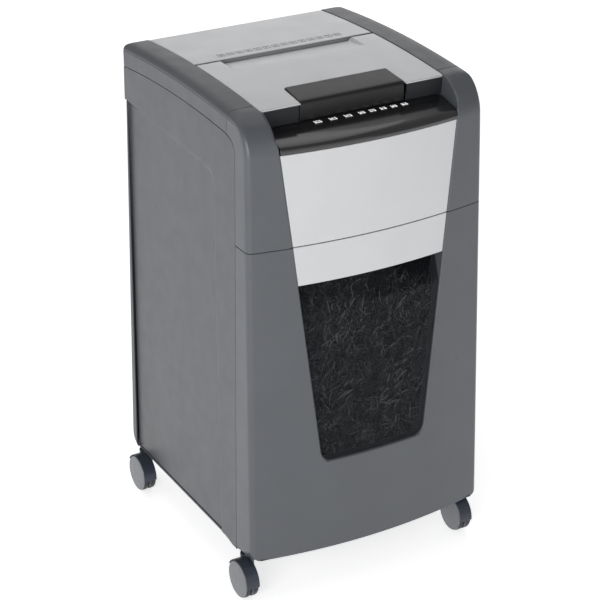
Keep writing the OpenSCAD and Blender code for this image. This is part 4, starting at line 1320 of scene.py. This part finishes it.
def wheel_parts(stem, turn):
    """Treads and discs of both wheels, each as a turned profile, and the axle."""
    centre = (-SHIFT, -TRAIL, WHEEL_R)
    r, w = WHEEL_R, HALF_PAIR
    tread = [(2.3, 2.0), (2.3, r - 1.2), (2.7, r - 0.4), (3.4, r), (w - 2.7, r), (w - 1.9, r - 0.3),
             (w - 1.4, r - 1.1), (w - 1.4, 2.0)]
    disc = [(w - 1.6, 1.5), (w - 1.6, r - 1.0), (w - 1.1, r - 0.6), (w - 0.5, r - 1.0),
            (w - 0.25, r - 1.9), (w - 0.7, r - 2.6), (w - 0.6, r - 3.4), (w - 0.3, r - 6),
            (w - 0.1, r - 14), (w, 2.0), (w, 0.01)]
    parts = []
    for profile in (tread, disc):
        parts += [lathe(profile, centre, 72), lathe([(-a, b) for a, b in profile][::-1], centre, 72)]
    parts.append(lathe([(-3, 0.01), (-3, 2.5), (3, 2.5), (3, 0.01)], centre, 24))
    return [placed(part, stem, turn) for part in parts]


def caster_turn(tag, stem):
    """Swivel angle read off the place of the wheels beside their stem."""
    dx, dy = mid("wheels_" + tag, X) - stem[0], mid("wheels_" + tag, Y) - stem[1]
    return math.atan2(dy, dx) - math.atan2(-TRAIL, -SHIFT)


for tag in ("fl", "fr", "rl", "rr"):
    stem = mid("stem_" + tag, X), mid("stem_" + tag, Y)
    turn = caster_turn(tag, stem)
    piece("caster_hood_" + tag, hood_part(stem, turn), HOOD, "caster_" + tag,
          ["hood_" + tag])
    piece("caster_wheels_" + tag, wheel_parts(stem, turn), [TREAD, DISC], "wheels_" + tag,
          ["wheels_" + tag], marks=[0, 0, 1, 1, 0])


# ---- floor, light and camera
FLOOR = 9.0  # half width of the floor, in metres
mesh = bpy.data.meshes.new("floor")
mesh.from_pydata([(-FLOOR, -FLOOR, 0), (FLOOR, -FLOOR, 0), (FLOOR, FLOOR, 0), (-FLOOR, FLOOR, 0)],
                 [], [[0, 1, 2, 3]])
floor = bpy.data.objects.new("floor", mesh)
bpy.context.scene.collection.objects.link(floor)
mesh.materials.append(finish("floor_paper", (0.86, 0.86, 0.865), 0.7, vary=0.01, grain=300,
                             grain_depth=0.02, mottle=2, specular=0.2, glow=0.62))


def area(name, place, target, size, energy):
    """White soft box at a place, aimed at a target."""
    light = bpy.data.lights.new(name, "AREA")
    light.shape = "RECTANGLE"
    light.size, light.size_y = size
    light.energy = energy
    obj = bpy.data.objects.new(name, light)
    obj.location = place
    obj.rotation_euler = (Vector(target) - Vector(place)).to_track_quat("-Z", "Y").to_euler()
    bpy.context.scene.collection.objects.link(obj)


area("key", (-2.5, -2.3, 1.3), (0, 0, 0.4), (1.8, 1.8), 58)
area("front_fill", (0.6, -3.2, 1.2), (0, 0, 0.35), (2.0, 2.0), 8)
area("side_fill", (-3.0, 1.2, 1.0), (0, 0, 0.35), (2.0, 1.6), 12)
area("top", (0.2, 0.8, 3.0), (0, 0, 0.6), (2.4, 2.4), 12)
area("back", (1.8, 2.6, 1.6), (0, 0, 0.4), (2.0, 2.0), 10)

world = bpy.data.worlds.new("studio")
world.use_nodes = True
background = world.node_tree.nodes["Background"]
background.inputs["Color"].default_value = (1, 1, 1, 1)
background.inputs["Strength"].default_value = 0.34
bpy.context.scene.world = world
bpy.context.scene.view_settings.view_transform = "Standard"

# camera to the left of the front, looking down on the top
az, el = math.radians(-29.49), math.radians(26.11)
back = Vector((math.sin(az) * math.cos(el), -math.cos(az) * math.cos(el), math.sin(el)))
right = Vector((math.cos(az), math.sin(az), 0))
up = back.cross(right)
cam = bpy.data.cameras.new("camera")
cam.lens, cam.sensor_width = 118.74, 36
cam.clip_end = 50
view = bpy.data.objects.new("camera", cam)
view.matrix_world = Matrix.Translation((-1.32296, -2.32642, 1.67094)) @ Matrix(
    (right, up, back)).transposed().to_4x4()
bpy.context.scene.collection.objects.link(view)
bpy.context.scene.camera = view

bpy.context.view_layer.update()
